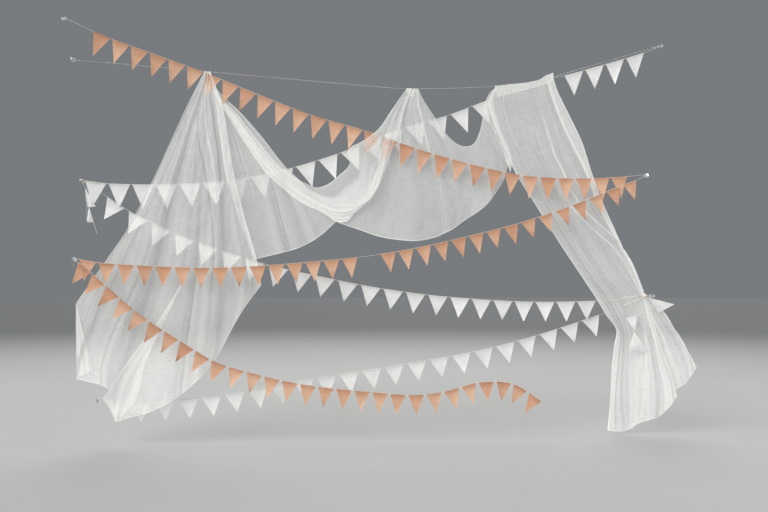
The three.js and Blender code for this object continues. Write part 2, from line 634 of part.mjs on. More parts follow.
// The top white garland is tied to the line, and a second length runs on beside the line to its right end.
const lineRun = vec(PANEL_TOP[1]).lerp(vec(TOP_KNOT), TIE_SHARE);
const lineAlong = vec(TOP_KNOT).sub(vec(PANEL_TOP[1])).normalize();
const TOP_WHITE_LEFT = [
  [210, 42, -1239], [380, 42, -1248], [820, 44, -1250], [1290, 46, -1225], [1670, 46, -1180], [2190, 42, -1062],
  [2720, 38, -888], [3400, 34, -605], [3910, 30, -447], [4340, 28, -275], [4940, 26, -75], [5010, 20, -48],
];
garland(
  "top_white_garland_left", "white", TALL_WHITE, { bare: 3, pitch: 246, count: 18, bow: -60 },
  tiedTo(leftMiddleAnchor, 10, TOP_WHITE_LEFT[0]),
  TOP_WHITE_LEFT,
  tiedRound(lineRun, lineAlong, LINE_RADIUS, TOP_WHITE_LEFT[TOP_WHITE_LEFT.length - 1], TIE_RADIUS),
);
const besideRun = lineRun.clone().addScaledVector(lineAlong, TIE_SPACING * TIE_RADIUS);
const TOP_WHITE_RIGHT = [[5150, 14, 10], [5420, 14, 88], [6160, 12, 325]];
garland(
  "top_white_garland_right", "white", WIDE_WHITE, { bare: 183, pitch: 251, count: 4, plumb: 1 },
  tiedRound(besideRun, lineAlong, LINE_RADIUS, TOP_WHITE_RIGHT[0], TIE_RADIUS),
  TOP_WHITE_RIGHT,
  tiedTo(rightLineAnchor, -20, TOP_WHITE_RIGHT[TOP_WHITE_RIGHT.length - 1]),
);

// The tie that takes in the right half of the panel, and a white garland's free end that hangs beside it
const TIE_STRAND = [[6060, -92, -2425], [5950, -104, -2455], [5850, -98, -2490], [5836, -62, -2497]];
{
  const tie = tiedTo(tiebackAnchor, -30, TIE_STRAND[0]);
  add("tieback_strand", fuse([tie.loop, strand([tie.start, ...TIE_STRAND.map(vec)], TIE_RADIUS)]), "twine");
}

function loosePennant(a, b, c) {
  const corners = [a, b, c].map(vec);
  const depth = new THREE.Vector3(0, STRING_DEPTH / 2, 0);
  const points = [...corners.map((p) => p.clone().sub(depth)), ...corners.map((p) => p.clone().add(depth))];
  const sides = [[0, 1], [1, 2], [2, 0]].flatMap(([i, j]) => [[i, i + 3, j + 3], [i, j + 3, j]]);
  return geometryOf(points, [[0, 1, 2], [3, 5, 4], ...sides]);
}

const HANGING_STRING = [
  [6125, -112, -2420], [6160, -118, -2500], [6100, -124, -2560], [5985, -130, -2600], [5945, -138, -2690],
  [5925, -146, -2790], [5862, -156, -2975],
];
const HANGING_PENNANTS = [
  [[6125, -113, -2420], [6215, -122, -2585], [6410, -117, -2490]],
  [[5985, -130, -2595], [5840, -132, -2640], [5940, -144, -2775]],
  [[5860, -156, -2980], [6080, -158, -3020], [5928, -146, -2785]],
];
{
  const tie = tiedTo(tiebackAnchor, 5, HANGING_STRING[0]);
  const string = strand([tie.start, ...HANGING_STRING.map(vec)], TIE_RADIUS);
  const pennants = HANGING_PENNANTS.map((corners) => loosePennant(...corners));
  add("hanging_garland_end", fuse([tie.loop, string, ...pennants]), "white");
}

// The free end of another white garland, with two pennants, that hangs from the left white garlands' eye
const LEFT_HANGING_STRING = [
  [146, 54, -1295], [149, 56, -1386], [163, 60, -1477], [163, 62, -1559], [170, 64, -1630],
  [199, 64, -1646], [226, 64, -1639], [244, 62, -1685], [265, 60, -1762],
];
const LEFT_HANGING_PENNANTS = [
  [[145, 54, -1290], [169, 60, -1489], [249, 64, -1480]],
  [[165, 65, -1640], [227, 65, -1636], [181, 67, -1476]],
];
{
  const tie = tiedTo(leftMiddleAnchor, -75, LEFT_HANGING_STRING[0]);
  const string = strand([tie.start, ...LEFT_HANGING_STRING.map(vec)], TIE_RADIUS);
  const pennants = LEFT_HANGING_PENNANTS.map((corners) => loosePennant(...corners));
  add("left_hanging_garland_end", fuse([tie.loop, string, ...pennants]), "white");
}

// Short loose ends of string at the left copper knot and at the last hanging pennant
const LOOSE_ENDS = {
  left_knot_tail_upper: [[124.1, -249.8, -2027], [114, -253, -2026], [97, -262, -2016], [80, -268, -2032]],
  left_knot_tail_lower: [[125.7, -253, -2042.4], [120, -262, -2048], [112, -270, -2068], [107, -272, -2100]],
  hanging_end_tail: [[5860.5, -156.5, -2980.8], [5857, -159, -3015], [5850, -163, -3055], [5852, -166, -3090]],
};
for (const [name, route] of Object.entries(LOOSE_ENDS)) {
  const section = new THREE.Shape().absarc(0, 0, TAIL_RADIUS, 0, 2 * Math.PI, false);
  const extrudePath = new THREE.CatmullRomCurve3(route.map(vec));
  const shape = { steps: LOOSE_TWINE_STEPS, curveSegments: 4, extrudePath };
  add(name, new THREE.ExtrudeGeometry(section, shape), "twine");
}

export default canopy;
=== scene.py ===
"""A chuppah canopy: sheer voile draped over a clear line, with garlands of small pennants."""

import math

import bpy
import numpy as np
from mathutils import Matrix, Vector
from mathutils.bvhtree import BVHTree


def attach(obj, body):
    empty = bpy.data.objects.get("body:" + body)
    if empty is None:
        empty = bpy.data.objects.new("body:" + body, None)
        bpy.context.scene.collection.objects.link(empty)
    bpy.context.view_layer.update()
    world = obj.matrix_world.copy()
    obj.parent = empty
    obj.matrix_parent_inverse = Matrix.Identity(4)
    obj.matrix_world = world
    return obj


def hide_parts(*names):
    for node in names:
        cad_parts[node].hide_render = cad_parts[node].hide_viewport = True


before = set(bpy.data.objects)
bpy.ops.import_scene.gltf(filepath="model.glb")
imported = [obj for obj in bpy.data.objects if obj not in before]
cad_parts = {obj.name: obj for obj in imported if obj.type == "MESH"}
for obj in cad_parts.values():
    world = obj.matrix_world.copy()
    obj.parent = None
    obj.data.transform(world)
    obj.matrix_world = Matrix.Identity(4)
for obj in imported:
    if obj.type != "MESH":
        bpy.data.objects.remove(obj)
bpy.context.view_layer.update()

UP = np.array([0.0, 0.0, 1.0])

# Driving dimensions, in metres. The origin is on the left line anchor, with Y to the back and Z up.
GROUND = -3.880
LINE_RADIUS = 0.0012
TWINE_RADIUS = 0.0015
STRAND_RADIUS = 0.0028
CORD_DIAMETER = 0.003
# An eye's ring: its radius, its wire's radius, and how far its middle is from the plate's back
RING_RADIUS = 0.016
RING_WIRE = 0.003
RING_OUT = 0.028
# The gap between a tie and the wire that it goes round
TIE_GAP = 0.0003
# How far the cloth stands off the line's middle, and a turned-over fold off the drape
WRAP = 0.0115
FOLD_GAP = 0.006
# The height of the hem that is turned over a pennant's string
PENNANT_HEM = 0.016

# The camera's place, its tilt in degrees, where 90 looks level, and its turn to the right
CAMERA_PLACE = (1.903, -8.935, -2.300)
CAMERA_TILT = 92.081
CAMERA_TURN = 8.3
LENS = 40
SENSOR = 36


def mm(points):
    """Millimetres, as the routes and ribs list them, in metres."""
    return np.asarray(points, float) / 1000


def unit(v):
    return v / np.maximum(np.linalg.norm(v, axis=-1, keepdims=True), 1e-12)


# Camera

def aim_camera():
    camera = bpy.data.objects.new("camera", bpy.data.cameras.new("camera"))
    camera.data.sensor_width = SENSOR
    camera.data.lens = LENS
    camera.data.clip_end = 400
    camera.location = CAMERA_PLACE
    camera.rotation_euler = (math.radians(CAMERA_TILT), 0, math.radians(-CAMERA_TURN))
    bpy.context.scene.collection.objects.link(camera)
    bpy.context.scene.camera = camera


aim_camera()


# Materials

class Nodes:
    """Short names for adding nodes to one material."""

    def __init__(self, name):
        self.material = bpy.data.materials.new(name)
        self.material.use_nodes = True
        self.tree = self.material.node_tree
        self.tree.nodes.clear()

    def add(self, kind, sockets=None, output=0, **settings):
        """A new node of the kind, with its settings, and its sockets set or linked. Gives one output."""
        node = self.tree.nodes.new("ShaderNode" + kind)
        for key, value in settings.items():
            setattr(node, key, value)
        for key, value in (sockets or {}).items():
            if isinstance(value, bpy.types.NodeSocket):
                self.tree.links.new(value, node.inputs[key])
            else:
                node.inputs[key].default_value = value
        return node.outputs[output] if node.outputs else None

    def maths(self, operation, *values, clamp=False):
        return self.add("Math", dict(enumerate(values)), operation=operation, use_clamp=clamp)

    def threads(self):
        """The UV: metres across and down the cloth."""
        return self.add("UVMap", uv_map="cloth")

    def coordinates(self, scale=(1, 1, 1), shift=(0, 0, 0)):
        return self.add("Mapping", {"Vector": self.threads(), "Scale": scale, "Location": shift})

    def along(self, axis, scale):
        """The UV's x or y in metres, times scale."""
        return self.maths("MULTIPLY", self.add("SeparateXYZ", {0: self.threads()}, axis), scale)

    def noise(self, vector, scale, detail):
        sockets = {"Vector": vector, "Scale": scale, "Detail": detail, "Roughness": 0.55}
        return self.add("TexNoise", sockets, "Fac")

    def place(self):
        """Coordinates in the part's own frame, in metres."""
        return self.add("NewGeometry", output="Position")

    def attribute(self, name):
        return self.add("Attribute", output="Fac", attribute_name=name)

    def span(self, value, low, high, start, end):
        """Goes smoothly from start to end while the value goes from low to high."""
        sockets = {"Value": value, "From Min": low, "From Max": high, "To Min": start, "To Max": end}
        return self.add("MapRange", sockets, "Result", interpolation_type="SMOOTHSTEP")

    def band(self, value, low, high, soft):
        """1 between low and high and 0 outside, with soft edges."""
        rise = self.span(value, low, low + soft, 0.0, 1.0)
        return self.maths("MULTIPLY", rise, self.span(value, high - soft, high, 1.0, 0.0))

    def dashes(self, axis, length, between):
        """1 on each stitch along the UV's axis, and less between them."""
        wave = self.maths("SINE", self.along(axis, 2 * math.pi / length))
        return self.span(wave, -0.2, 0.2, between, 1.0)

    def streaks(self, warp, weft, shift):
        """Uneven threads both ways, 1 on average. warp and weft are the streaks' scales across and along."""
        both = (self.coordinates((*warp, 1)), self.coordinates((*weft, 1), shift))
        return self.maths("ADD", *(self.noise(vector, 1.0, 2.0) for vector in both))

    def weave(self, pitch):
        """Plain weave: warp and weft threads that pass over each other, 0 to 1."""
        warp, weft = (self.maths("SINE", self.along(axis, math.pi / pitch)) for axis in (0, 1))
        return self.maths("MULTIPLY_ADD", self.maths("MULTIPLY", warp, weft), 0.5, 0.5)

    def blend(self, factor, a, b):
        return self.add("Mix", {0: factor, 6: a, 7: b}, 2, data_type="RGBA")

    def mix(self, factor, a, b):
        return self.add("MixShader", {0: factor, 1: a, 2: b})

    def bump(self, height, distance, strength, normal=None):
        sockets = {"Height": height, "Distance": distance, "Strength": strength}
        if normal is not None:
            sockets["Normal"] = normal
        return self.add("Bump", sockets)

    def principled(self, colour, roughness, **more):
        sockets = {key.replace("_", " "): value for key, value in more.items()}
        return self.add("BsdfPrincipled", {"Base Color": colour, "Roughness": roughness, **sockets})

    def lit_through(self, share, cloth, colour, normal):
        """The cloth with a share of translucent shader, for the light that comes through it."""
        return self.mix(share, cloth, self.add("BsdfTranslucent", {"Color": colour, "Normal": normal}))

    def finish(self, surface):
        self.add("OutputMaterial", {"Surface": surface})
        return self.material


def voile_material():
    """Sheer polyester voile: fine threads, thread streaks both ways, a rolled hem and a soft sheen. Its
    density is the share of light that the threads stop."""
    n = Nodes("voile")
    streaks = n.streaks((420, 7), (6, 360), (3, 9, 0))
    clouds = n.noise(n.coordinates(shift=(5, 2, 0)), 2.4, 3.0)
    weave = n.weave(pitch=0.0009)
    edge = n.attribute("edge")
    hem = n.span(edge, 0.008, 0.012, 1.0, 0.0)
    stitch_line = n.band(edge, 0.0085, 0.0115, soft=0.001)
    stitches = n.maths("MULTIPLY", stitch_line, n.dashes(1, length=0.0035, between=0.35))
    density = n.maths("MULTIPLY_ADD", n.maths("SUBTRACT", streaks, 1.0), 0.22, 0.50)
    density = n.maths("MULTIPLY_ADD", n.maths("SUBTRACT", clouds, 0.5), 0.16, density)
    density = n.maths("MULTIPLY_ADD", n.maths("SUBTRACT", weave, 0.5), 0.16, density)
    density = n.maths("MULTIPLY_ADD", hem, 0.28, density)
    density = n.maths("MULTIPLY_ADD", n.attribute("doubled"), 0.20, density, clamp=True)
    colour = n.blend(n.span(streaks, 0.7, 1.3, 0.0, 1.0), (0.80, 0.81, 0.80, 1), (0.93, 0.93, 0.90, 1))
    colour = n.blend(n.maths("MULTIPLY", stitches, 0.4), colour, (0.62, 0.63, 0.62, 1))
    creases = n.noise(n.coordinates((1, 0.45, 1)), 22.0, 4.0)
    folds = n.noise(n.coordinates((1, 0.22, 1), (2, 1, 0)), 6.0, 2.0)
    normal = n.bump(folds, 0.030, 0.55)
    normal = n.bump(creases, 0.006, 0.55, normal)
    normal = n.bump(weave, 0.0003, 0.7, normal)
    cloth = n.principled(colour, n.span(clouds, 0.3, 0.7, 0.62, 0.82), Normal=normal,
                         Sheen_Weight=0.35, Sheen_Roughness=0.4, Specular_IOR_Level=0.25)
    return n.finish(n.mix(density, n.add("BsdfTransparent"), n.lit_through(0.42, cloth, colour, normal)))


def pennant_material(name, light, dark, deep_tone_and_shade, pitch, through):
    """Woven pennant cloth: threads, slubs, a stitched top hem, tint from pennant to pennant, and painted
    shade darkening its upper part. pitch is its threads' and through the share of the light that comes
    through."""
    n = Nodes(name)
    weave = n.weave(pitch)
    slub = n.streaks((260, 9), (8, 220), (4, 1, 0))
    blotch = n.noise(n.coordinates(shift=(7, 3, 0)), 9.0, 3.0)
    drop = n.attribute("drop")
    stitch_line = n.band(drop, 0.058, 0.074, soft=0.004)
    stitches = n.maths("MULTIPLY", stitch_line, n.dashes(0, length=0.005, between=0.2))
    colour = n.blend(n.attribute("tint"), light, dark)
    # Painted shade: the upper part of each pennant, round the string and hem, is darkened towards the deep
    # colour.
    colour = n.blend(n.maths("MULTIPLY", n.span(drop, 0.0, 0.45, 1.0, 0.0), 0.55), colour, deep_tone_and_shade)
    colour = n.blend(n.span(slub, 0.72, 1.3, 0.0, 0.35), colour, light)
    colour = n.blend(n.span(blotch, 0.35, 0.75, 0.0, 0.30), colour, deep_tone_and_shade)
    fray = n.span(n.attribute("edge"), 0.0005, 0.0030, 0.5, 0.0)
    colour = n.blend(fray, colour, light)
    colour = n.blend(n.maths("MULTIPLY", stitches, 0.5), colour, deep_tone_and_shade)
    normal = n.bump(blotch, 0.006, 0.5)
    normal = n.bump(n.maths("MULTIPLY_ADD", slub, 0.5, weave), 0.0005, 0.9, normal)
    cloth = n.principled(colour, n.span(slub, 0.7, 1.3, 0.72, 0.9), Normal=normal,
                         Sheen_Weight=0.30, Sheen_Roughness=0.45, Specular_IOR_Level=0.25)
    return n.finish(n.lit_through(through, cloth, colour, normal))


def twine_material():
    """Pale cotton twine: two plies twisted together, with fine fuzz and painted shade in the grooves between
    the plies.
    """
    n = Nodes("twine")
    twist = n.maths("ADD", n.along(1, 2 * math.pi / 0.006), n.along(0, 4 * math.pi))
    plies = n.maths("ABSOLUTE", n.maths("SINE", n.maths("MULTIPLY", twist, 0.5)))
    fuzz = n.noise(n.coordinates((60, 900, 1)), 1.0, 3.0)
    # Painted shade: the grooves between the plies are coloured dark and the crests pale.
    colour = n.blend(plies, (0.36, 0.31, 0.24, 1), (0.80, 0.75, 0.66, 1))
    colour = n.blend(n.span(fuzz, 0.4, 0.7, 0.0, 0.4), colour, (0.90, 0.87, 0.80, 1))
    normal = n.bump(n.maths("MULTIPLY_ADD", fuzz, 0.3, plies), 0.0006, 0.9)
    return n.finish(n.principled(colour, 0.85, Normal=normal, Sheen_Weight=0.4, Sheen_Roughness=0.5,
                                 Specular_IOR_Level=0.2))


def line_material():
    """Clear drawn line, with faint scratches and a little haze."""
    n = Nodes("clear_line")
    haze = n.noise(n.coordinates((3, 60, 1)), 1.0, 3.0)
    scratches = n.noise(n.coordinates((40, 900, 1)), 1.0, 2.0)
    colour = n.blend(haze, (0.86, 0.89, 0.90, 1), (0.97, 0.98, 0.98, 1))
    normal = n.bump(scratches, 0.0001, 0.5)
    return n.finish(n.principled(colour, n.span(haze, 0.3, 0.7, 0.06, 0.22), Normal=normal,
                                 Transmission_Weight=0.8, IOR=1.5, Coat_Weight=0.2, Coat_Roughness=0.1))


def steel_material():
    """Zinc-plated steel: spangle, dull patches and fine brushing."""
    n = Nodes("steel")
    place = n.place()
    spangle = n.add("TexVoronoi", {"Vector": place, "Scale": 260.0}, "Distance")
    patches = n.noise(place, 90.0, 4.0)
    fine = n.noise(place, 1400.0, 3.0)
    colour = n.blend(patches, (0.52, 0.53, 0.54, 1), (0.74, 0.75, 0.75, 1))
    colour = n.blend(n.span(spangle, 0.0, 0.6, 0.0, 0.25), colour, (0.42, 0.43, 0.45, 1))
    normal = n.bump(fine, 0.0001, 0.6)
    return n.finish(n.principled(colour, n.span(patches, 0.3, 0.7, 0.24, 0.46), Normal=normal, Metallic=1.0))


# The materials, by the names of their slots
MATERIALS = {
    "voile": voile_material(),
    # A pennant cloth's third colour is its deep tone, also used for the painted shade at each pennant's top.
    "copper_cloth": pennant_material("copper_cloth", (0.68, 0.44, 0.31, 1), (0.54, 0.28, 0.17, 1),
                                     (0.38, 0.17, 0.09, 1), pitch=0.0016, through=0.25),
    "white_cloth": pennant_material("white_cloth", (0.80, 0.80, 0.79, 1), (0.71, 0.715, 0.71, 1),
                                    (0.55, 0.555, 0.56, 1), pitch=0.0014, through=0.35),
    "twine": twine_material(),
    "clear_line": line_material(),
    "steel": steel_material(),
}


# Curves and surfaces

CHORDS = 24


def dense(points):
    """A centripetal Catmull-Rom curve through the points, as many short chords."""
    p = np.asarray(points, float)
    p = np.vstack([2 * p[0] - p[1], p, 2 * p[-1] - p[-2]])
    gaps = np.maximum(np.linalg.norm(np.diff(p, axis=0), axis=1) ** 0.5, 1e-6)
    t = np.linspace(0, 1, CHORDS, endpoint=False)[:, None]
    stretches = []
    for i in range(1, len(p) - 2):
        a, b, c, d = p[i - 1:i + 3]
        before, here, after = gaps[i - 1:i + 2]
        leave = ((b - a) / before - (c - a) / (before + here) + (c - b) / here) * here
        arrive = ((c - b) / here - (d - b) / (here + after) + (d - c) / after) * here
        square = -3 * b + 3 * c - 2 * leave - arrive
        cube = 2 * b - 2 * c + leave + arrive
        stretches.append(b + leave * t + square * t**2 + cube * t**3)
    stretches.append(p[-2][None])
    return np.vstack(stretches)


def lengths(points):
    """Distance along a polyline at each of its points."""
    return np.concatenate([[0], np.cumsum(np.linalg.norm(np.diff(points, axis=0), axis=1))])


def at_distance(line, distance):
    """The points of a polyline at these distances along it."""
    run = lengths(line)
    return np.stack([np.interp(distance, run, line[:, i]) for i in range(3)], axis=-1)


def even(points, count):
    """The curve through the points, as a number of evenly spaced ones."""
    line = dense(points)
    return at_distance(line, np.linspace(0, lengths(line)[-1], count))


def uniform_spline(knots, share):
    """Uniform Catmull-Rom along the first axis of knots, at shares from 0 to 1."""
    k = np.concatenate([[2 * knots[0] - knots[1]], knots, [2 * knots[-1] - knots[-2]]])
    x = np.clip(np.asarray(share, float), 0, 1) * (len(knots) - 1)
    i = np.minimum(x.astype(int), len(knots) - 2)
    t = (x - i).reshape((-1,) + (1,) * (knots.ndim - 1))
    a, b, c, d = k[i], k[i + 1], k[i + 2], k[i + 3]
    return 0.5 * (2 * b + (c - a) * t + (2 * a - 5 * b + 4 * c - d) * t**2 + (3 * b - a - 3 * c + d) * t**3)


def ramp(value, low, high):
    """0 below low, 1 above high and smooth between."""
    t = np.clip((value - low) / (high - low), 0, 1)
    return t * t * (3 - 2 * t)


def hump(x):
    """A push one way before 0 and the other way after it, which dies out past 2."""
    return x * np.exp(-x * x)


# Meshes

def grid_faces(rows, columns, start=0):
    r, c = np.meshgrid(np.arange(rows - 1), np.arange(columns - 1), indexing="ij")
    a = (start + r * columns + c).ravel()
    return np.stack([a, a + columns, a + columns + 1, a + 1], axis=1).tolist()


def make_mesh(name, vertices, faces, material, uv=None, floats=None):
    """A mesh object. uv and floats have a value for each vertex."""
    mesh = bpy.data.meshes.new(name)
    mesh.from_pydata([tuple(v) for v in vertices], [], faces)
    if uv is not None:
        layer = mesh.uv_layers.new(name="cloth")
        corners = np.zeros(len(mesh.loops), int)
        mesh.loops.foreach_get("vertex_index", corners)
        layer.data.foreach_set("uv", np.asarray(uv, np.float32)[corners].ravel())
    for key, values in (floats or {}).items():
        attribute = mesh.attributes.new(key, "FLOAT", "POINT")
        attribute.data.foreach_set("value", np.asarray(values, np.float32).ravel())
    mesh.materials.append(material)
    mesh.update()
    made = bpy.data.objects.new(name, mesh)
    bpy.context.scene.collection.objects.link(made)
    return made


def ride(piece, nodes):
    """Puts the piece on the part's one body and hides the CAD nodes that it stands for."""
    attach(piece, "root")
    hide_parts(*nodes)


def make_piece(name, slot, nodes, vertices, faces, uv, floats=None):
    """A smooth piece of the part, in its slot's material."""
    piece = make_mesh(name, vertices, faces, MATERIALS[slot], uv, floats)
    piece.data.polygons.foreach_set("use_smooth", [True] * len(faces))
    ride(piece, nodes)
    return piece


def solid_piece(name, slot, node, parts):
    """One piece of several parts, each its vertices, faces and UV."""
    faces = []
    start = 0
    for vertices, part_faces, _ in parts:
        faces.extend([start + i for i in face] for face in part_faces)
        start += len(vertices)
    vertices = np.vstack([part[0] for part in parts])
    return make_piece(name, slot, [node], vertices, faces, np.vstack([part[2] for part in parts]))


def tube(points, radius, sides=8):
    """A round tube along points, its ends closed: vertices, faces and UV (turns round, metres along). The
    radius is one number, or one for each point."""
    p = np.asarray(points, float)
    radii = np.broadcast_to(radius, len(p))
    tangent = unit(np.gradient(p, axis=0))
    side = np.cross(tangent[0], UP if abs(tangent[0][2]) < 0.9 else np.array([1.0, 0, 0]))
    run = lengths(p)
    angle = np.linspace(0, 2 * math.pi, sides + 1)
    vertices = []
    uv = []
    for i, ahead in enumerate(tangent):
        side = unit(side - ahead * (side @ ahead))
        up = np.cross(ahead, side)
        vertices.append(p[i] + radii[i] * (np.cos(angle)[:, None] * side + np.sin(angle)[:, None] * up))
        uv.append(np.stack([angle / (2 * math.pi), np.full(sides + 1, run[i])], axis=-1))
    faces = grid_faces(len(p), sides + 1)
    first_cap = len(p) * (sides + 1)
    last_ring = first_cap - sides - 1
    vertices.append(p[[0, -1]])
    uv.append(np.array([[0.5, run[0]], [0.5, run[-1]]]))
    faces += [[first_cap, i, i + 1] for i in range(sides)]
    faces += [[first_cap + 1, last_ring + i + 1, last_ring + i] for i in range(sides)]
    return np.vstack(vertices), faces, np.vstack(uv)


def turned(profile, sides, origin, out, side):
    """A turned shape: profile is (distance along out, radius)."""
    angle = np.linspace(0, 2 * math.pi, sides + 1)
    vertices = []
    uv = []
    for i, (along, radius) in enumerate(profile):
        vertices.append(origin + out * along
                        + radius * (np.cos(angle)[:, None] * side + np.sin(angle)[:, None] * UP))
        uv.append(np.stack([angle / (2 * math.pi), np.full(sides + 1, i * 0.004)], axis=-1))
    return np.vstack(vertices), grid_faces(len(profile), sides + 1), np.vstack(uv)


# Hung cloth

# The smooth cloth's columns, and how much closer its rows lie near the top
BASE_COLUMNS = 420
ROW_SPREAD = 1.08
# How near to a sharp corner's rib its hem starts to turn, in ribs
CORNER_REACH = 0.22
# A pleat's most half width, as a share of the row, and how far it strays, in half widths
PLEAT_MOST = 0.085
PLEAT_STRAY = 0.35
# How steeply a pleat starts and ends on its way down
PLEAT_START = 16
PLEAT_END = 14
# How much closer the columns lie at a pleat, and how far around it, in half widths
PLEAT_DETAIL = 6.0
PLEAT_REACH = 3.2
# How late a swell grows on its way down, and the share and rate of the ripple on it
SWELL_GROWTH = 1.4
RIPPLE_SHARE = 0.25
RIPPLE_RATE = 2.3


def grid_normals(grid):
    return unit(np.cross(np.gradient(grid, axis=1), np.gradient(grid, axis=0)))


def sharpened(knots, corners):
    """Adds knots close before and after each corner rib, so that the hem turns sharply there and the cloth
    stays smooth above. Returns the knots and the place of each among the ribs."""
    last = len(knots) - 1
    places = [float(k) for k in range(last + 1)]
    added = list(knots)
    low = ramp(np.linspace(0, 1, knots.shape[1]), 0.75, 1.0)[:, None]
    for corner in corners:
        for step in (-1, 1):
            place = corner + CORNER_REACH * step
            smooth = uniform_spline(knots, [place / last])[0]
            straight = (1 - CORNER_REACH) * knots[corner] + CORNER_REACH * knots[corner + step]
            at = int(np.searchsorted(places, place))
            places.insert(at, place)
            added.insert(at, smooth * (1 - low) + straight * low)
    return np.stack(added), np.array(places) / last


def smooth_cloth(ribs, rows, lead, corners):
    """A grid of points through the ribs, from the top down, before it has any folds."""
    near, count = lead
    lines = []
    for rib in ribs:
        line = dense(rib)
        first = np.linspace(0, near, count, endpoint=False)
        rest = near + (lengths(line)[-1] - near) * np.linspace(0, 1, rows - count) ** ROW_SPREAD
        lines.append(at_distance(line, np.concatenate([first, rest])))
    knots, places = sharpened(np.stack(lines), corners)
    shares = np.interp(np.linspace(0, 1, BASE_COLUMNS), places, np.linspace(0, 1, len(places)))
    return uniform_spline(knots, shares).transpose(1, 0, 2)


def pleats_of_row(pleats, wander, down, run, among):
    """The pleats that show in the row at this share of the way down, as middle, half width, overlap and
    depth, and how close the columns lie along the row."""
    shown = []
    weight = np.ones(BASE_COLUMNS)
    for (shares, half, overlap, depth, start, end), (phase, speed) in zip(pleats, wander):
        share = uniform_spline(np.array(shares, float)[:, None], [down])[0, 0]
        rise = 1.0 if start <= 0 else 1 / (1 + math.exp((start - down) * PLEAT_START))
        fade = rise / (1 + math.exp((down - end) * PLEAT_END))
        wide = min(half, PLEAT_MOST * run[-1])
        stray = PLEAT_STRAY * wide * math.sin(speed * 2 * math.pi * down + phase)
        middle = np.interp(share, among, run) + stray
        weight += PLEAT_DETAIL * np.exp(-(((run - middle) / (PLEAT_REACH * wide)) ** 2))
        if fade > 0.01:
            shown.append((middle, wide, overlap * fade * wide / half, depth * fade * wide / half))
    return shown, weight


def hung_cloth(ribs, pleats, swells, rows, columns, seed, lead=(0.0, 0), corners=()):
    """Cloth through its ribs, from the top down. Each pleat folds the cloth over itself. It is (shares, half
    width, overlap, depth, start, end): the shares are its places among the ribs at even steps from the top
    to the hem, and it runs from start to end, as shares of the way down. Each swell moves the cloth in and
    out. It is (waves across, amplitude at the top, amplitude at the hem, drift). lead is the length of the
    first stretch and its number of rows, and corners are the ribs where the hem turns sharply."""
    rng = np.random.default_rng(seed)
    base = smooth_cloth(ribs, rows, lead, corners)
    normals = grid_normals(base)
    among = np.linspace(0, 1, BASE_COLUMNS)
    whole = 2 * math.pi
    phases = [(rng.uniform(0, whole), rng.uniform(0, whole), rng.uniform(0.7, 1.4)) for _ in swells]
    wander = [(rng.uniform(0, whole), rng.uniform(1.5, 3.5)) for _ in pleats]
    cloth = np.zeros((rows, columns, 3))
    for r in range(rows):
        down = r / (rows - 1)
        run = lengths(base[r])
        shown, weight = pleats_of_row(pleats, wander, down, run, among)
        mass = np.concatenate([[0], np.cumsum((weight[1:] + weight[:-1]) / 2 * np.diff(run))])
        s = np.interp(np.linspace(0, mass[-1], columns), mass, run)
        moved = s.copy()
        offset = np.zeros(columns)
        for middle, wide, overlap, depth in shown:
            x = (s - middle) / wide
            moved -= overlap * hump(x)
            offset += depth * (hump(x) + 0.5 * np.exp(-x * x))
        turns = whole * np.interp(s, run, among)
        for (waves, top, hem, drift), (phase, second, faster) in zip(swells, phases):
            size = top + (hem - top) * down**SWELL_GROWTH
            turn = waves * turns + phase + drift * down
            ripple = np.sin(RIPPLE_RATE * faster * turn + second)
            offset += size * ((1 - RIPPLE_SHARE) * np.sin(turn) + RIPPLE_SHARE * ripple)
        moved = np.clip(moved, 0, run[-1])
        point = np.stack([np.interp(moved, run, base[r, :, i]) for i in range(3)], axis=-1)
        normal = np.stack([np.interp(moved, run, normals[r, :, i]) for i in range(3)], axis=-1)
        cloth[r] = point + unit(normal) * offset[:, None]
    return cloth


def cloth_uv(grid):
    """Thread coordinates in metres: across and down the cloth, measured on its surface."""
    across = np.linalg.norm(np.diff(grid, axis=1), axis=2)
    down = np.linalg.norm(np.diff(grid, axis=0), axis=2)
    u = np.concatenate([np.zeros((grid.shape[0], 1)), np.cumsum(across, axis=1)], axis=1)
    u -= u[:, -1:] / 2
    v = np.concatenate([np.zeros((1, grid.shape[1])), np.cumsum(down, axis=0)], axis=0)
    v = 0.5 * v + 0.5 * v.mean(axis=1, keepdims=True)
    return u, v


def voile_sheet(name, grid, nodes, hems, doubled=None):
    """A grid of points as one open sheet of voile. hems says which of its sides (Left, Right, Top, Bottom)
    are hemmed, and doubled gives how much the cloth lies in layers, from the shares across and down."""
    u, v = cloth_uv(grid)
    from_side = {"L": u - u[:, :1], "R": u[:, -1:] - u, "T": v - v[:1], "B": v[-1:] - v}
    edge = np.full(u.shape, 1.0)
    for side in hems:
        edge = np.minimum(edge, from_side[side])
    rows, columns = u.shape
    layers = np.zeros(u.shape)
    if doubled is not None:
        layers = doubled((u - u[:, :1]) / (u[:, -1:] - u[:, :1]), np.linspace(0, 1, rows)[:, None])
    piece = make_piece(name, "voile", nodes, grid.reshape(-1, 3), grid_faces(rows, columns),
                       np.stack([u, v], axis=-1).reshape(-1, 2), {"edge": edge, "doubled": layers})


# Cords

def free_cord(name, points):
    """A loose end of twine as a round curve, its route the one that the CAD solid follows."""
    route = even(points, 24)
    curve = bpy.data.curves.new(name + "_twine", "CURVE")
    curve.dimensions = "3D"
    curve.bevel_depth = CORD_DIAMETER / 2
    curve.bevel_resolution = 4
    curve.use_fill_caps = True
    spline = curve.splines.new("POLY")
    spline.points.add(len(route) - 1)
    for point, place in zip(spline.points, route):
        point.co = (*place, 1)
    curve.materials.append(MATERIALS["twine"])
    made = bpy.data.objects.new(name + "_twine", curve)
    bpy.context.scene.collection.objects.link(made)
    ride(made, [name])


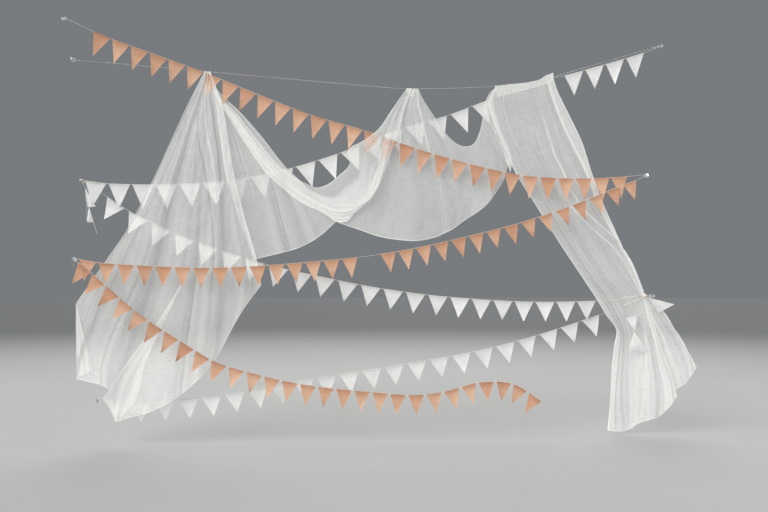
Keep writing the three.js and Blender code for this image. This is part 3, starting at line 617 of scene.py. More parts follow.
free_cord("left_knot_tail_upper", [(0.1241, -0.2498, -2.027), (0.114, -0.253, -2.026),
                                   (0.097, -0.262, -2.016), (0.080, -0.268, -2.032)])
free_cord("left_knot_tail_lower", [(0.1257, -0.253, -2.0424), (0.120, -0.262, -2.048),
                                   (0.112, -0.270, -2.068), (0.107, -0.272, -2.100)])
free_cord("hanging_end_tail", [(5.8605, -0.1565, -2.9808), (5.857, -0.159, -3.015),
                               (5.850, -0.163, -3.055), (5.852, -0.166, -3.090)])


# The line and what it is tied to

# Where cloth hangs on the line: from its first point to its last
PEAK_1 = mm([[1330, 0, -69], [1390, 0, -72.5]])
PEAK_2 = mm([[3445, 0, -179.5], [3565, 0, -177]])
PANEL_TOP = mm([[4430, 0, -118], [4990, 0, -30]])
TOP_KNOT = mm([5050, 0, -8])

# Each anchor: the middle of its plate's back in millimetres, and the way that it faces
ANCHORS = {
    "left_line_anchor": ([0, 0, 0], (1, 0, 0)),
    "left_top_garland_anchor": ([-60, -90, 385], (0.75, -0.66, 0)),
    "left_white_garland_anchor": ([95, 50, -1225], (1, 0, 0)),
    "left_copper_garland_anchor": ([105, -215, -2030], (0.6, -0.8, 0)),
    "left_bottom_garland_anchor": ([290, 20, -3440], (1, 0, 0)),
    "right_line_anchor": ([6360, 0, 395], (-1, 0, 0)),
    "right_copper_garland_anchor": ([6058, -218, -1093], (-0.8, -0.6, 0)),
    "tieback_anchor": ([6200, -60, -2400], (-1, 0, 0)),
}
# The profiles of a plate and of a screw's head: how far out, and the radius there
PLATE = [(0, 0), (0, 0.0232), (0.0006, 0.024), (0.0030, 0.024), (0.0040, 0.0228), (0.0040, 0.0065),
         (0.0052, 0.0050), (0.0085, 0.0040), (0.0115, 0.0040), (0.0135, 0.0)]
SCREW = [(0.0035, 0.0041), (0.0043, 0.0041), (0.0047, 0.0032), (0.0047, 0.0016), (0.0036, 0.0011),
         (0.0036, 0.0)]
SCREWS_OUT = 0.0155
WELD_RADIUS = 0.0044


def screw_eye(name, at, outward):
    """A round plate with three countersunk screws, a neck and a welded ring. Returns the ring's middle and
    the way out of the plate."""
    origin = mm(at)
    out = unit(np.array(outward, float))
    side = unit(np.cross(UP, out))
    parts = [turned(PLATE, 48, origin, out, side)]
    for k in range(3):
        turn = 2 * math.pi * k / 3 + 0.5
        head = origin + SCREWS_OUT * (math.cos(turn) * side + math.sin(turn) * UP)
        parts.append(turned(SCREW, 24, head, out, side))
    centre = origin + out * RING_OUT
    angle = np.linspace(0, 2 * math.pi, 61)
    ring = centre + RING_RADIUS * (np.cos(angle)[:, None] * out + np.sin(angle)[:, None] * UP)
    parts.append(tube(ring, RING_WIRE, sides=14))
    foot = centre - out * RING_RADIUS
    weld = UP * RING_RADIUS / 4
    bead = even([foot - weld, foot, foot + weld], 9)
    parts.append(tube(bead, WELD_RADIUS * np.sin(np.linspace(0.35, math.pi - 0.35, 9)), sides=14))
    piece = solid_piece("screw_eye_" + name, "steel", name, parts)
    piece.data.set_sharp_from_angle(angle=math.radians(40))
    return centre, out


EYES = {name: screw_eye(name, *place) for name, place in ANCHORS.items()}
TIE_TURNS = 3.25
# The pitch of a tie's turns, in radii of the string
TIE_PITCH = 2.1


def tie(eye, angle, radius):
    """The turns of string round the bar of an eye's ring, at an angle up from straight out."""
    centre, out = EYES[eye]
    turn = math.radians(angle)
    radial = math.cos(turn) * out + math.sin(turn) * UP
    bar = -math.sin(turn) * out + math.cos(turn) * UP
    across = np.cross(bar, radial)
    loop = RING_WIRE + radius + TIE_GAP
    t = np.linspace(0, 1, 61)
    wound = 2 * math.pi * TIE_TURNS * t
    coil = (centre + RING_RADIUS * radial
            + loop * (np.cos(wound)[:, None] * radial + np.sin(wound)[:, None] * across)
            + ((t - 0.5) * TIE_TURNS * TIE_PITCH * radius)[:, None] * bar)
    return tube(coil, radius * 0.95)


def knot(centre, axis, radius):
    """A small overhand knot: a twisted closed loop of string with this radius."""
    axis = unit(np.asarray(axis, float))
    side = unit(np.cross(axis, UP + np.array([0.01, 0.02, 0])))
    up = np.cross(axis, side)
    t = np.linspace(0, 2 * math.pi, 73)
    reach = 2.0 * radius * (1 + 0.45 * np.cos(3 * t))
    path = (np.asarray(centre) + (reach * np.cos(2 * t))[:, None] * side
            + (reach * np.sin(2 * t))[:, None] * up + (1.5 * radius * np.sin(3 * t))[:, None] * axis)
    return tube(path, radius * 0.85)


def carrying_line():
    """The clear line between its two screw-eyes, pressed down where the cloth hangs. Returns its curve."""
    start, end = mm([[49.39, 0, 0], [6311, 0, 397]])
    route = np.vstack([start, PEAK_1, PEAK_2, PANEL_TOP, TOP_KNOT, end])
    run = even(route, 340)
    parts = [tube(run, LINE_RADIUS), tie("left_line_anchor", 0, LINE_RADIUS),
             tie("right_line_anchor", 20, LINE_RADIUS)]
    for way in (run, run[::-1]):
        parts.append(knot(way[2], way[3] - way[0], LINE_RADIUS))
    solid_piece("clear_carrying_line", "clear_line", "carrying_line", parts)
    return dense(route)


LINE = carrying_line()


# Voile over the line

def on_line(pair, share):
    return pair[0] + (pair[1] - pair[0]) * share


def hung_rib(point, rib, back_drop, lift=0.0):
    """A rib from behind the line, over it at the point and down its front to the hem. It leans towards the
    first of the given points below, and its end behind hangs down by back_drop."""
    x, _, z = point
    below = mm(rib)
    lean = (below[0][0] - x) / (z - below[0][2])
    w = WRAP + lift
    # How far each point over the line lies down the lean, to the back and up
    over = [(-0.5 * back_drop, w, -back_drop), (-0.25 * back_drop, w, -0.55 * back_drop),
            (0, 0.8 * w, -0.016), (0, 0.45 * w, 0.0035 + lift), (0, 0, 0.0075 + lift),
            (0, -0.45 * w, 0.0035 + lift), (0.012, -0.8 * w, -0.016), (0.045, -w, -0.047),
            (0.085, -w, -0.085)]
    return [[x + lean * down, y, z + up] for down, y, up in over] + below.tolist()


# Each list of ribs is in millimetres. It goes from one edge of the cloth to the other, and each rib from
# the top down. Each list of pleats is as hung_cloth takes it.
LEFT_DRAPE = [
    [[1150, -40, -460], [820, -70, -1230], [580, -90, -1730], [380, -105, -2040], [110, -120, -2450]],
    [[900, -60, -1210], [500, -80, -2130], [180, -100, -2930], [120, -105, -3200]],
    [[1000, -75, -1210], [720, -110, -2230], [440, -130, -3080], [428, -135, -3312]],
    [[1080, -60, -1210], [860, -90, -2330], [610, -120, -3330], [505, -125, -3636]],
    [[1200, -75, -1210], [1090, -115, -2230], [970, -135, -3030], [890, -140, -3520]],
    [[1340, -60, -1210], [1290, -95, -2230], [1230, -120, -2930], [1190, -125, -3330]],
    [[1470, -75, -1210], [1490, -110, -2030], [1480, -130, -2630], [1460, -140, -3040]],
    [[1560, -60, -1200], [1680, -85, -1920], [1740, -100, -2330], [1710, -110, -2580]],
    [[1510, -40, -420], [1640, -65, -1160], [1740, -80, -1560], [1870, -95, -2010], [1920, -100, -2280]],
]
LEFT_PLEATS = [
    ((0.28, 0.40, 0.62, 0.70, 0.71, 0.70), 0.030, 0.014, 0.010, 0.0, 0.74),
    ((0.45, 0.56, 0.70, 0.75, 0.76, 0.76), 0.013, 0.038, 0.011, 0.0, 0.60),
    ((0.64, 0.74, 0.82, 0.84, 0.85), 0.026, 0.014, 0.010, 0.0, 0.42),
    ((0.38, 0.50, 0.68, 0.74), 0.011, 0.022, 0.010, 0.0, 0.30),
    ((0.55, 0.66, 0.78, 0.80), 0.011, 0.022, 0.010, 0.0, 0.26),
    ((0.78, 0.86, 0.90, 0.92), 0.012, 0.030, 0.010, 0.0, 0.34),
    ((0.14, 0.20, 0.26), 0.012, 0.016, 0.008, 0.0, 0.16),
    ((0.60, 0.60, 0.60), 0.032, 0.006, 0.009, 0.62, 1.3),
    ((0.24, 0.24, 0.22), 0.030, 0.010, 0.011, 0.55, 1.3),
]


def left_drape():
    last = len(LEFT_DRAPE) - 1
    ribs = [hung_rib(on_line(PEAK_1, k / last), rib, 0.040 + 0.028 * math.sin(1.7 * k) ** 2)
            for k, rib in enumerate(LEFT_DRAPE)]
    swells = [(2.4, 0.0, 0.030, 1.2), (5.0, 0.001, 0.012, 2.0)]
    grid = hung_cloth(ribs, LEFT_PLEATS, swells, rows=150, columns=400, seed=11, lead=(0.20, 22),
                      corners=(1, 3))
    voile_sheet("left_drape_voile", grid, ["left_drape", "peak_1_wrap"], "LRB")
    return grid


FOLD_ROWS = 70
FOLD_COLUMNS = 40
FOLD_SMOOTHINGS = 6


def front_depth(surface, x, z):
    """Y of the surface where it is seen from the front at x and z, or near there."""
    hit = surface.ray_cast(Vector((x, -1.0, z)), Vector((0, 1, 0)))
    if hit[0] is None:
        hit = surface.find_nearest(Vector((x, -0.12, z)))
    return hit[0].y


def resting_fold(node, left, right, surface, bulge, seed, hems):
    """A turned-over part of the drape that lies on its front, between its left and its right edge. Their
    depths come from the drape's surface."""
    share = np.linspace(0, 1, FOLD_COLUMNS)
    left_edge = even(mm(left), FOLD_ROWS)[:, None]
    right_edge = even(mm(right), FOLD_ROWS)[:, None]
    grid = left_edge * (1 - share)[None, :, None] + right_edge * share[None, :, None]
    depth = np.array([[front_depth(surface, x, z) for x, _, z in row] for row in grid])
    for _ in range(FOLD_SMOOTHINGS):
        pad = np.pad(depth, 1, mode="edge")
        depth = (pad[:-2, 1:-1] + pad[2:, 1:-1] + pad[1:-1, :-2] + pad[1:-1, 2:] + 2 * depth) / 6
    phase = np.random.default_rng(seed).uniform(0, 6.28)
    down = np.linspace(0, 1, FOLD_ROWS)[:, None]
    wave = bulge * np.sin(math.pi * share)[None, :] * (0.3 + 0.7 * down)
    wave = wave + 0.003 * np.sin(2 * math.pi * 2.2 * share + phase + 2 * down) * down
    grid[..., 1] = depth - FOLD_GAP - wave
    voile_sheet(node + "_voile", grid, [node], hems)


def left_folds(grid):
    """The turned-over lower left corner, and the fold that runs down to the left from the middle."""
    surface = BVHTree.FromPolygons([Vector(p) for p in grid.reshape(-1, 3)], grid_faces(*grid.shape[:2]))
    resting_fold("left_drape_corner_fold", [[98, 0, -2460], [110, 0, -2800], [128, 0, -3190]],
                 [[102, 0, -2462], [190, 0, -2800], [275, 0, -3130]],
                 surface, bulge=0.006, seed=3, hems="RB")
    resting_fold("left_drape_diagonal_fold",
                 [[1135, 0, -2250], [900, 0, -2640], [640, 0, -3000], [402, 0, -3368], [375, 0, -3402],
                  [386, 0, -3424], [444, 0, -3518], [478, 0, -3600]],
                 [[1150, 0, -2255], [940, 0, -2700], [780, 0, -3080], [697, 0, -3416], [560, 0, -3612]],
                 surface, bulge=0.012, seed=4, hems="")


left_folds(left_drape())


# The swag between the two peaks, from its upper edge to its lower one. Its ribs run from peak to peak.
SWAG = [
    [[1528, 12, -327], [1693, 8, -480], [1921, 3, -737], [2139, -11, -1017], [2295, -26, -1173],
     [2389, -33, -1225], [2482, -45, -1262], [2565, -57, -1246], [2647, -70, -1199], [2729, -86, -1126],
     [2812, -103, -1048], [2836, -116, -976], [2804, -125, -894], [2840, -125, -841], [2945, -125, -786],
     [3127, -106, -646], [3271, -70, -438]],
    [[1508, 4, -340], [1683, 0, -524], [1911, -6, -823], [2119, -22, -1071], [2324, -36, -1201],
     [2469, -51, -1334], [2644, -66, -1413], [2848, -87, -1427], [2994, -104, -1375], [3081, -116, -1254],
     [3124, -128, -1108], [3156, -128, -907], [3212, -109, -671], [3315, -68, -426]],
    [[1493, -4, -363], [1653, -8, -568], [1870, -14, -867], [2077, -28, -1125], [2285, -43, -1280],
     [2461, -58, -1389], [2648, -73, -1477], [2845, -93, -1481], [3011, -111, -1402], [3125, -127, -1244],
     [3176, -140, -1077], [3230, -130, -843], [3275, -114, -649], [3356, -76, -416]],
    [[1478, 6, -382], [1622, 2, -609], [1829, -4, -908], [2037, -16, -1167], [2254, -32, -1332],
     [2462, -48, -1445], [2659, -64, -1549], [2815, -79, -1548], [2950, -94, -1469], [3084, -113, -1307],
     [3167, -127, -1128], [3242, -123, -894], [3308, -107, -689], [3390, -66, -413]],
    [[1467, 16, -391], [1591, 13, -545], [1767, 8, -845], [1947, 1, -1103], [2120, -12, -1262],
     [2354, -29, -1435], [2485, -39, -1493], [2616, -49, -1566], [2691, -56, -1616], [2795, -66, -1616],
     [2923, -82, -1500], [3023, -95, -1403], [3122, -108, -1256], [3200, -121, -1095], [3275, -111, -881],
     [3353, -96, -675], [3424, -56, -409]],
]
SWAG_PLEATS = [
    ((0.30, 0.30, 0.28), 0.012, 0.034, 0.012, 0.28, 2.0),
    ((0.62, 0.60, 0.66), 0.013, 0.036, 0.012, 0.36, 2.0),
    ((0.88, 0.88, 0.88), 0.012, 0.032, 0.012, 0.0, 2.0),
    ((0.45, 0.44, 0.46), 0.012, 0.012, 0.008, 0.40, 0.80),
    ((0.76, 0.76, 0.76), 0.012, 0.016, 0.008, 0.30, 0.86),
    ((0.20, 0.22, 0.20), 0.014, 0.014, 0.008, 0.0, 0.30),
    ((0.55, 0.52, 0.50), 0.016, 0.014, 0.010, 0.0, 0.26),
]


def left_swag():
    """Each rib goes over the line at the second peak, along the swag and up behind the first peak."""
    ribs = []
    for k, rib in enumerate(SWAG):
        behind = on_line(PEAK_1, 0.98 - 0.09 * k) + np.array([0, WRAP + 0.004, -0.02])
        knee = behind + np.array([0.004, 0.001, -0.07])
        over = hung_rib(on_line(PEAK_2, 0.04 + 0.13 * k), rib[::-1], back_drop=0.055 + 0.012 * k,
                        lift=0.001)
        ribs.append(over + [knee, behind])
    swells = [(1.6, 0.001, 0.006, 3.0), (4.0, 0.001, 0.002, 5.0)]
    grid = hung_cloth(ribs, SWAG_PLEATS, swells, rows=210, columns=260, seed=23, lead=(0.20, 22))
    voile_sheet("left_swag_voile", grid, ["left_swag_band", "peak_2_front_fold"], "LR",
                doubled=lambda across, down: 1.3 * ramp(across, 0.22, 0.34) * ramp(down, 0.22, 0.50))


left_swag()

CURTAIN = [
    [[1426, 14, -278], [1479, 13, -621], [1543, 11, -1089], [1679, 10, -1555], [1846, 8, -2015]],
    [[1487, 14, -339], [1726, 11, -772], [1882, 9, -1187], [1967, 7, -1604], [2061, 5, -1962]],
    [[1508, 14, -359], [1850, 9, -874], [2068, 6, -1236], [2194, 3, -1580], [2289, 0, -1899]],
    [[1528, 14, -379], [1984, 3, -1029], [2276, -3, -1339], [2423, -7, -1600], [2507, -10, -1782]],
    [[1549, 14, -399], [2109, -4, -1143], [2442, -21, -1422], [2599, -30, -1547], [2683, -35, -1625]],
    [[1569, 14, -420], [2213, -14, -1226], [2525, -32, -1422], [2713, -44, -1494], [2818, -50, -1483]],
]
CURTAIN_PLEATS = [
    ((0.12, 0.12), 0.014, 0.016, 0.010, 0.0, 0.6),
    ((0.34, 0.34), 0.014, 0.014, 0.008, 0.0, 0.9),
]


def left_swag_curtain():
    swells = [(2.5, 0.002, 0.016, 1.0), (6.0, 0.001, 0.007, -2.0)]
    ribs = [mm(rib) for rib in CURTAIN]
    grid = hung_cloth(ribs, CURTAIN_PLEATS, swells, rows=120, columns=260, seed=31)
    voile_sheet("left_swag_curtain_voile", grid, ["left_swag_curtain"], "LB")


left_swag_curtain()

# The right swag's ribs that hang on the second peak, and those along its free upper edge
RIGHT_SWAG_PEAK = [
    [[3408, -22, -349], [3287, -40, -635], [3157, -50, -991], [2987, -50, -1333], [2839, -45, -1535],
     [2714, -38, -1625]],
    [[3430, -24, -370], [3350, -45, -687], [3253, -52, -1010], [3124, -55, -1363], [3008, -50, -1554],
     [2945, -48, -1702]],
    [[3451, -26, -392], [3404, -46, -686], [3360, -52, -1008], [3273, -55, -1382], [3210, -52, -1594],
     [3146, -52, -1769]],
    [[3483, -26, -391], [3469, -44, -684], [3457, -50, -1006], [3413, -52, -1380], [3381, -50, -1592],
     [3349, -50, -1804]],
    [[3516, -24, -378], [3535, -40, -682], [3555, -46, -1003], [3564, -50, -1377], [3564, -50, -1590],
     [3553, -50, -1813]],
    [[3560, -22, -355], [3601, -36, -572], [3664, -44, -894], [3716, -50, -1321], [3737, -50, -1588],
     [3747, -50, -1774]],
]
RIGHT_SWAG_EDGE = [
    [[3576, -8, -184], [3625, -24, -429], [3709, -38, -784], [3803, -48, -1213], [3835, -50, -1501],
     [3845, -50, -1731]],
    [[3638, -14, -308], [3691, -22, -459], [3786, -34, -728], [3891, -48, -1136], [3933, -50, -1425],
     [3943, -50, -1682]],
    [[3747, -14, -467], [3820, -27, -672], [3936, -42, -963], [4032, -50, -1284], [4086, -50, -1579]],
    [[3850, -18, -626], [3940, -30, -799], [4056, -45, -1047], [4153, -50, -1272], [4207, -50, -1502]],
    [[3975, -22, -748], [4070, -35, -894], [4177, -46, -1088], [4263, -50, -1248], [4318, -50, -1409]],
    [[4084, -24, -789], [4180, -36, -913], [4276, -46, -1064], [4352, -50, -1193], [4401, -50, -1300]],
    [[4184, -22, -754], [4269, -34, -868], [4355, -44, -997], [4419, -50, -1105], [4474, -50, -1201]],
    [[4250, -20, -616], [4326, -30, -746], [4401, -38, -865], [4466, -44, -984], [4525, -48, -1103]],
    [[4282, -16, -473], [4351, -24, -614], [4426, -30, -755], [4497, -35, -884], [4557, -38, -1003]],
    [[4300, -12, -341], [4364, -18, -504], [4440, -24, -666], [4510, -29, -818], [4576, -32, -948]],
    [[4340, -8, -241], [4355, -13, -405], [4430, -19, -589], [4506, -24, -817], [4581, -30, -1056]],
    [[4386, -5, -173], [4362, -8, -284], [4411, -12, -469], [4475, -18, -643], [4540, -22, -794],
     [4598, -26, -990]],
    [[4448, -3, -137], [4402, -6, -282], [4480, -14, -600], [4540, -19, -740], [4590, -22, -900]],
]
RIGHT_SWAG_PLEATS = [
    ((0.30, 0.30, 0.32, 0.34), 0.016, 0.046, 0.014, 0.0, 0.62),
    ((0.22, 0.22, 0.24, 0.26), 0.013, 0.018, 0.010, 0.0, 0.45),
    ((0.36, 0.37, 0.40, 0.42), 0.014, 0.030, 0.012, 0.05, 0.40),
    ((0.10, 0.10, 0.10), 0.013, 0.014, 0.008, 0.0, 0.50),
    ((0.84, 0.84, 0.86), 0.014, 0.040, 0.012, 0.12, 0.72),
    ((0.90, 0.90, 0.92), 0.012, 0.030, 0.010, 0.20, 0.80),
    ((0.77, 0.77, 0.80), 0.012, 0.016, 0.008, 0.10, 0.60),
]
RIGHT_SWAG_BACK_DROPS = (0.050, 0.072, 0.073, 0.050, 0.034, 0.018)


def right_swag():
    ribs = [hung_rib(on_line(PEAK_2, 0.30 + 0.145 * k), rib, RIGHT_SWAG_BACK_DROPS[k])
            for k, rib in enumerate(RIGHT_SWAG_PEAK)]
    ribs += [mm(rib).tolist() for rib in RIGHT_SWAG_EDGE]
    swells = [(2.6, 0.001, 0.022, 1.5), (6.0, 0.001, 0.007, -2.0)]
    grid = hung_cloth(ribs, RIGHT_SWAG_PLEATS, swells, rows=150, columns=400, seed=41, lead=(0.17, 20))
    voile_sheet("right_swag_voile", grid, ["right_swag", "peak_2_wrap"], "TB")


right_swag()

RIGHT_DRAPE = [
    [[4353, -22, -276], [4392, -37, -496], [4521, -49, -821], [4630, -54, -1058], [4906, -60, -1489],
     [5129, -58, -1834], [5376, -57, -2192], [5545, -57, -2442], [5645, -61, -2606], [5756, -66, -2769],
     [5726, -77, -2932], [5696, -90, -3114], [5652, -130, -3519], [5602, -160, -3834]],
    [[4476, -22, -272], [4536, -41, -547], [4633, -49, -796], [4764, -54, -1056], [5007, -60, -1487],
     [5220, -58, -1833], [5467, -57, -2191], [5648, -58, -2442], [5756, -68, -2639], [5818, -79, -2813],
     [5779, -110, -3114], [5730, -160, -3516], [5740, -180, -3850]],
    [[4599, -22, -268], [4681, -43, -576], [4778, -49, -815], [4899, -54, -1053], [5120, -60, -1486],
     [5322, -58, -1833], [5570, -57, -2191], [5751, -57, -2442], [5850, -64, -2617], [5901, -74, -2814],
     [5886, -100, -3116], [5859, -150, -3520], [5850, -189, -3825]],
    [[4712, -21, -242], [4815, -45, -595], [4913, -50, -834], [5035, -54, -1050], [5233, -60, -1484],
     [5436, -58, -1832], [5674, -57, -2191], [5856, -56, -2410], [5940, -70, -2574], [5992, -100, -2878],
     [5993, -140, -3200], [5974, -173, -3519], [5924, -200, -3771]],
    [[4826, -20, -217], [4951, -45, -591], [5049, -50, -831], [5171, -54, -1048], [5347, -60, -1483],
     [5550, -58, -1831], [5800, -57, -2191], [5983, -56, -2399], [6031, -75, -2509], [6069, -110, -2824],
     [6076, -160, -3146], [6071, -187, -3466], [6045, -210, -3730]],
    [[4939, -19, -191], [5064, -45, -588], [5174, -50, -828], [5296, -54, -1045], [5473, -60, -1481],
     [5665, -58, -1830], [5916, -57, -2191], [6041, -56, -2394], [6064, -80, -2509], [6122, -120, -2824],
     [6177, -165, -3146], [6214, -198, -3467], [6189, -220, -3683]],
    [[5031, -18, -165], [5178, -45, -585], [5288, -50, -825], [5410, -54, -1043], [5588, -60, -1480],
     [5780, -58, -1829], [5985, -57, -2180], [6076, -56, -2388], [6098, -80, -2509], [6157, -120, -2791],
     [6235, -165, -3093], [6304, -203, -3371], [6311, -230, -3561]],
    [[5123, -17, -140], [5273, -36, -455], [5393, -48, -712], [5502, -54, -1052], [5634, -60, -1402],
     [5770, -59, -1676], [5872, -58, -1861], [5986, -57, -2092], [6100, -56, -2377], [6147, -75, -2509],
     [6217, -115, -2792], [6298, -155, -3051], [6368, -194, -3308], [6387, -220, -3478]],
]
RIGHT_PLEATS = [
    ((0.90, 0.90, 0.90, 0.94, 0.95, 0.95), 0.022, 0.064, 0.016, 0.0, 1.3),
    ((0.72, 0.66, 0.58, 0.90, 0.88, 0.86), 0.015, 0.042, 0.013, 0.16, 0.80),
    ((0.45, 0.46, 0.44, 0.78, 0.74, 0.70), 0.015, 0.040, 0.013, 0.36, 0.82),
    ((0.60, 0.58, 0.54, 0.84, 0.80, 0.78), 0.013, 0.022, 0.010, 0.30, 0.86),
    ((0.80, 0.76, 0.72, 0.88, 0.86, 0.84), 0.013, 0.018, 0.010, 0.06, 0.50),
    ((0.16, 0.16, 0.16, 0.16, 0.16), 0.014, 0.016, 0.010, 0.05, 0.40),
    ((0.90, 0.90, 0.90, 0.80, 0.58, 0.46), 0.015, 0.036, 0.012, 0.72, 1.3),
    ((0.95, 0.95, 0.95, 0.88, 0.78, 0.72), 0.014, 0.030, 0.012, 0.72, 1.3),
    ((0.10, 0.10, 0.10, 0.10, 0.10), 0.020, 0.014, 0.014, 0.74, 1.3),
]
# How far each rib's top stands up over the line, in a tuft beside the knot
TUFT_LIFT = (0, 0, 0, 0, 0, 0.004, 0.034, 0.046)
PANEL_OVERHANG = 0.032


def right_drape():
    """The panel and its tail in one sheet, from the line through the tieback to the hem."""
    left = PANEL_TOP[0][0]
    width = TOP_KNOT[0] + PANEL_OVERHANG - left
    ribs = []
    for k, rib in enumerate(RIGHT_DRAPE):
        x = left + width * k / (len(RIGHT_DRAPE) - 1)
        height = np.interp(x, LINE[:, 0], LINE[:, 2])
        over = np.array(hung_rib((x, 0, height), rib, 0.115 - 0.010 * k))
        over[3:6, 2] += TUFT_LIFT[k]
        ribs.append(over)
    swells = [(1.8, 0.001, 0.022, 2.0), (4.0, 0.001, 0.010, -2.5)]
    grid = hung_cloth(ribs, RIGHT_PLEATS, swells, rows=210, columns=400, seed=61, lead=(0.20, 24),
                      corners=(4,))

    def doubled(across, down):
        return 0.7 * ramp(across, 0.84, 0.92) + 0.5 * ramp(across, 0.55, 0.85) * ramp(down, 0.55, 0.72)

    voile_sheet("right_drape_voile", grid, ["right_panel", "right_panel_top_hem", "right_tail"], "LRB",
                doubled=doubled)


right_drape()

TAIL_LOBE = [
    [[6100, -52, -2410], [6120, -60, -2641], [6215, -84, -2935], [6295, -104, -3207], [6365, -122, -3435]],
    [[6122, -58, -2410], [6220, -90, -2618], [6371, -130, -2902], [6473, -150, -3163], [6512, -160, -3347]],
    [[6133, -58, -2410], [6246, -85, -2564], [6419, -130, -2815], [6553, -155, -3076], [6583, -160, -3250]],
    [[6145, -58, -2410], [6255, -70, -2498], [6384, -110, -2706], [6517, -140, -2946], [6639, -160, -3169]],
]
TAIL_PLEATS = [
    ((0.18, 0.18), 0.014, 0.034, 0.012, 0.0, 1.3),
    ((0.92, 0.92), 0.016, 0.034, 0.012, 0.0, 1.3),
    ((0.55, 0.55), 0.012, 0.014, 0.010, 0.0, 0.5),
]


def right_tail_side_fold():
    swells = [(1.5, 0.001, 0.014, 1.0), (4.0, 0.001, 0.005, -2.0)]
    ribs = [mm(rib) for rib in TAIL_LOBE]
    grid = hung_cloth(ribs, TAIL_PLEATS, swells, rows=70, columns=150, seed=67)
    voile_sheet("right_tail_side_fold_voile", grid, ["right_tail"], "LRB")


right_tail_side_fold()


# Garlands

# Each size of pennant: its width along the string, and its height under the string
SIZES = {"large_copper": (0.175, 0.235), "small_copper": (0.160, 0.200), "tall_white": (0.210, 0.250),
         "wide_white": (0.222, 0.250), "short_white": (0.205, 0.210)}
# How far the cloth stands off its string's middle
STRING_OFF = 0.0022
STRING_STEP = 0.018
# A knot sits this far before each pennant that has the room
KNOT_AHEAD = 0.004
KNOT_ROOM = 0.014


class Pennants:
    """The cloth of one garland, gathered pennant by pennant. Each pennant is a grid of points of one size."""

    def __init__(self):
        self.points = []
        self.faces = []
        self.uv = []
        self.floats = {"edge": [], "drop": [], "tint": []}

    def add(self, points, uv, edge, drop, tint):
        rows, columns = points.shape[:2]
        self.faces += grid_faces(rows, columns, len(self.points) * rows * columns)
        self.points.append(points.reshape(-1, 3))
        self.uv.append(uv.reshape(-1, 2))
        for key, values in (("edge", edge), ("drop", drop), ("tint", tint)):
            self.floats[key].append(np.broadcast_to(values, (rows, columns)).ravel())

    def make(self, name, slot):
        floats = {key: np.concatenate(values) for key, values in self.floats.items()}
        piece = make_piece(name + "_pennants", slot, [name], np.vstack(self.points), self.faces,
                           np.vstack(self.uv), floats)


def pennant(left, right, height, plumb, rng):
    """One triangular pennant hung between two places on its string, with its hem turned back over the
    string: its points, UV, distance from its sides, share of the way down and tint. It hangs square to
    the string where plumb is 0, and straight down where it is 1."""
    width = np.linalg.norm(right - left)
    along = (right - left) / width
    front = unit(np.cross(along, UP))
    up = np.cross(front, along)
    hang = unit(up * (1 - plumb) + UP * plumb)
    # Each row's height over the string and its side of it: -1 behind, 1 in front
    rows = [(-PENNANT_HEM, -1), (-0.006, -1), (0.0, -0.6), (0.002, 0.0), (0.0, 0.6), (-0.006, 1.0)]
    rows += [(-depth, 1.0) for depth in np.linspace(0.014, height, 13)]
    z, side = np.array(rows).T[:, :, None]
    across = np.linspace(-1, 1, 13)[None, :]
    curl = rng.uniform(-0.010, 0.010)
    twist = rng.uniform(-0.008, 0.008)
    bow = rng.uniform(-0.009, 0.012)
    lean = rng.uniform(-0.006, 0.006)
    share = np.where(side > 0, np.maximum(-z / height, 0), 0)
    narrow = np.where(side > 0, 1 - share, 1 + z / height)
    half = np.maximum(width / 2 * narrow, 0.0006)
    cup = 0.006 * np.sin(math.pi * share * 0.8)
    push = STRING_OFF * side + curl * share**2 + bow * np.sin(math.pi * share)
    push = push + twist * across * share + cup * (across * across - 0.4) * narrow
    drop = np.where(side[..., None] < 0.5, up, hang) * z[..., None]
    shift = along * (across * half + lean * share)[..., None] + front * push[..., None]
    points = (left + right) / 2 + shift + drop
    tint = rng.uniform(0, 1) ** 1.3
    uv = np.stack(np.broadcast_arrays(across * half, -z), axis=-1) + rng.uniform(0, 20, 2)
    return points, uv, half * (1 - abs(across)) * 0.8, share, tint


def garland(name, size, ends, route, bare, pitch, count, bow, seed, plumb=0.0):
    """A string along its route, tied to the eyes in ends, with a count of pennants at a pitch. bare is the
    run before the first one, and bow is how far the middle ones have slid along from even spacing."""
    order = np.arange(count)
    starts = bare + pitch * order + 4 * bow * order * (count - 1 - order) / (count - 1) ** 2
    width, height = SIZES[size]
    line = dense(mm(route))
    rng = np.random.default_rng(seed)
    cloth = Pennants()
    for at in starts:
        left, right = at_distance(line, np.array([at, at + width]))
        cloth.add(*pennant(left, right, height, plumb, rng))
    slot = "white_cloth" if "white" in size else "copper_cloth"
    cloth.make(name, slot)
    length = lengths(line)[-1]
    parts = [tube(at_distance(line, np.linspace(0, length, int(length / STRING_STEP))), TWINE_RADIUS)]
    parts += [tie(eye, angle, TWINE_RADIUS) for eye, angle in ends]
    for where in starts[starts > KNOT_ROOM] - KNOT_AHEAD:
        centre, ahead = at_distance(line, np.array([where, where + 0.01]))
        parts.append(knot(centre, ahead - centre, TWINE_RADIUS * 0.8))
    solid_piece(name + "_string", "twine", name, parts)


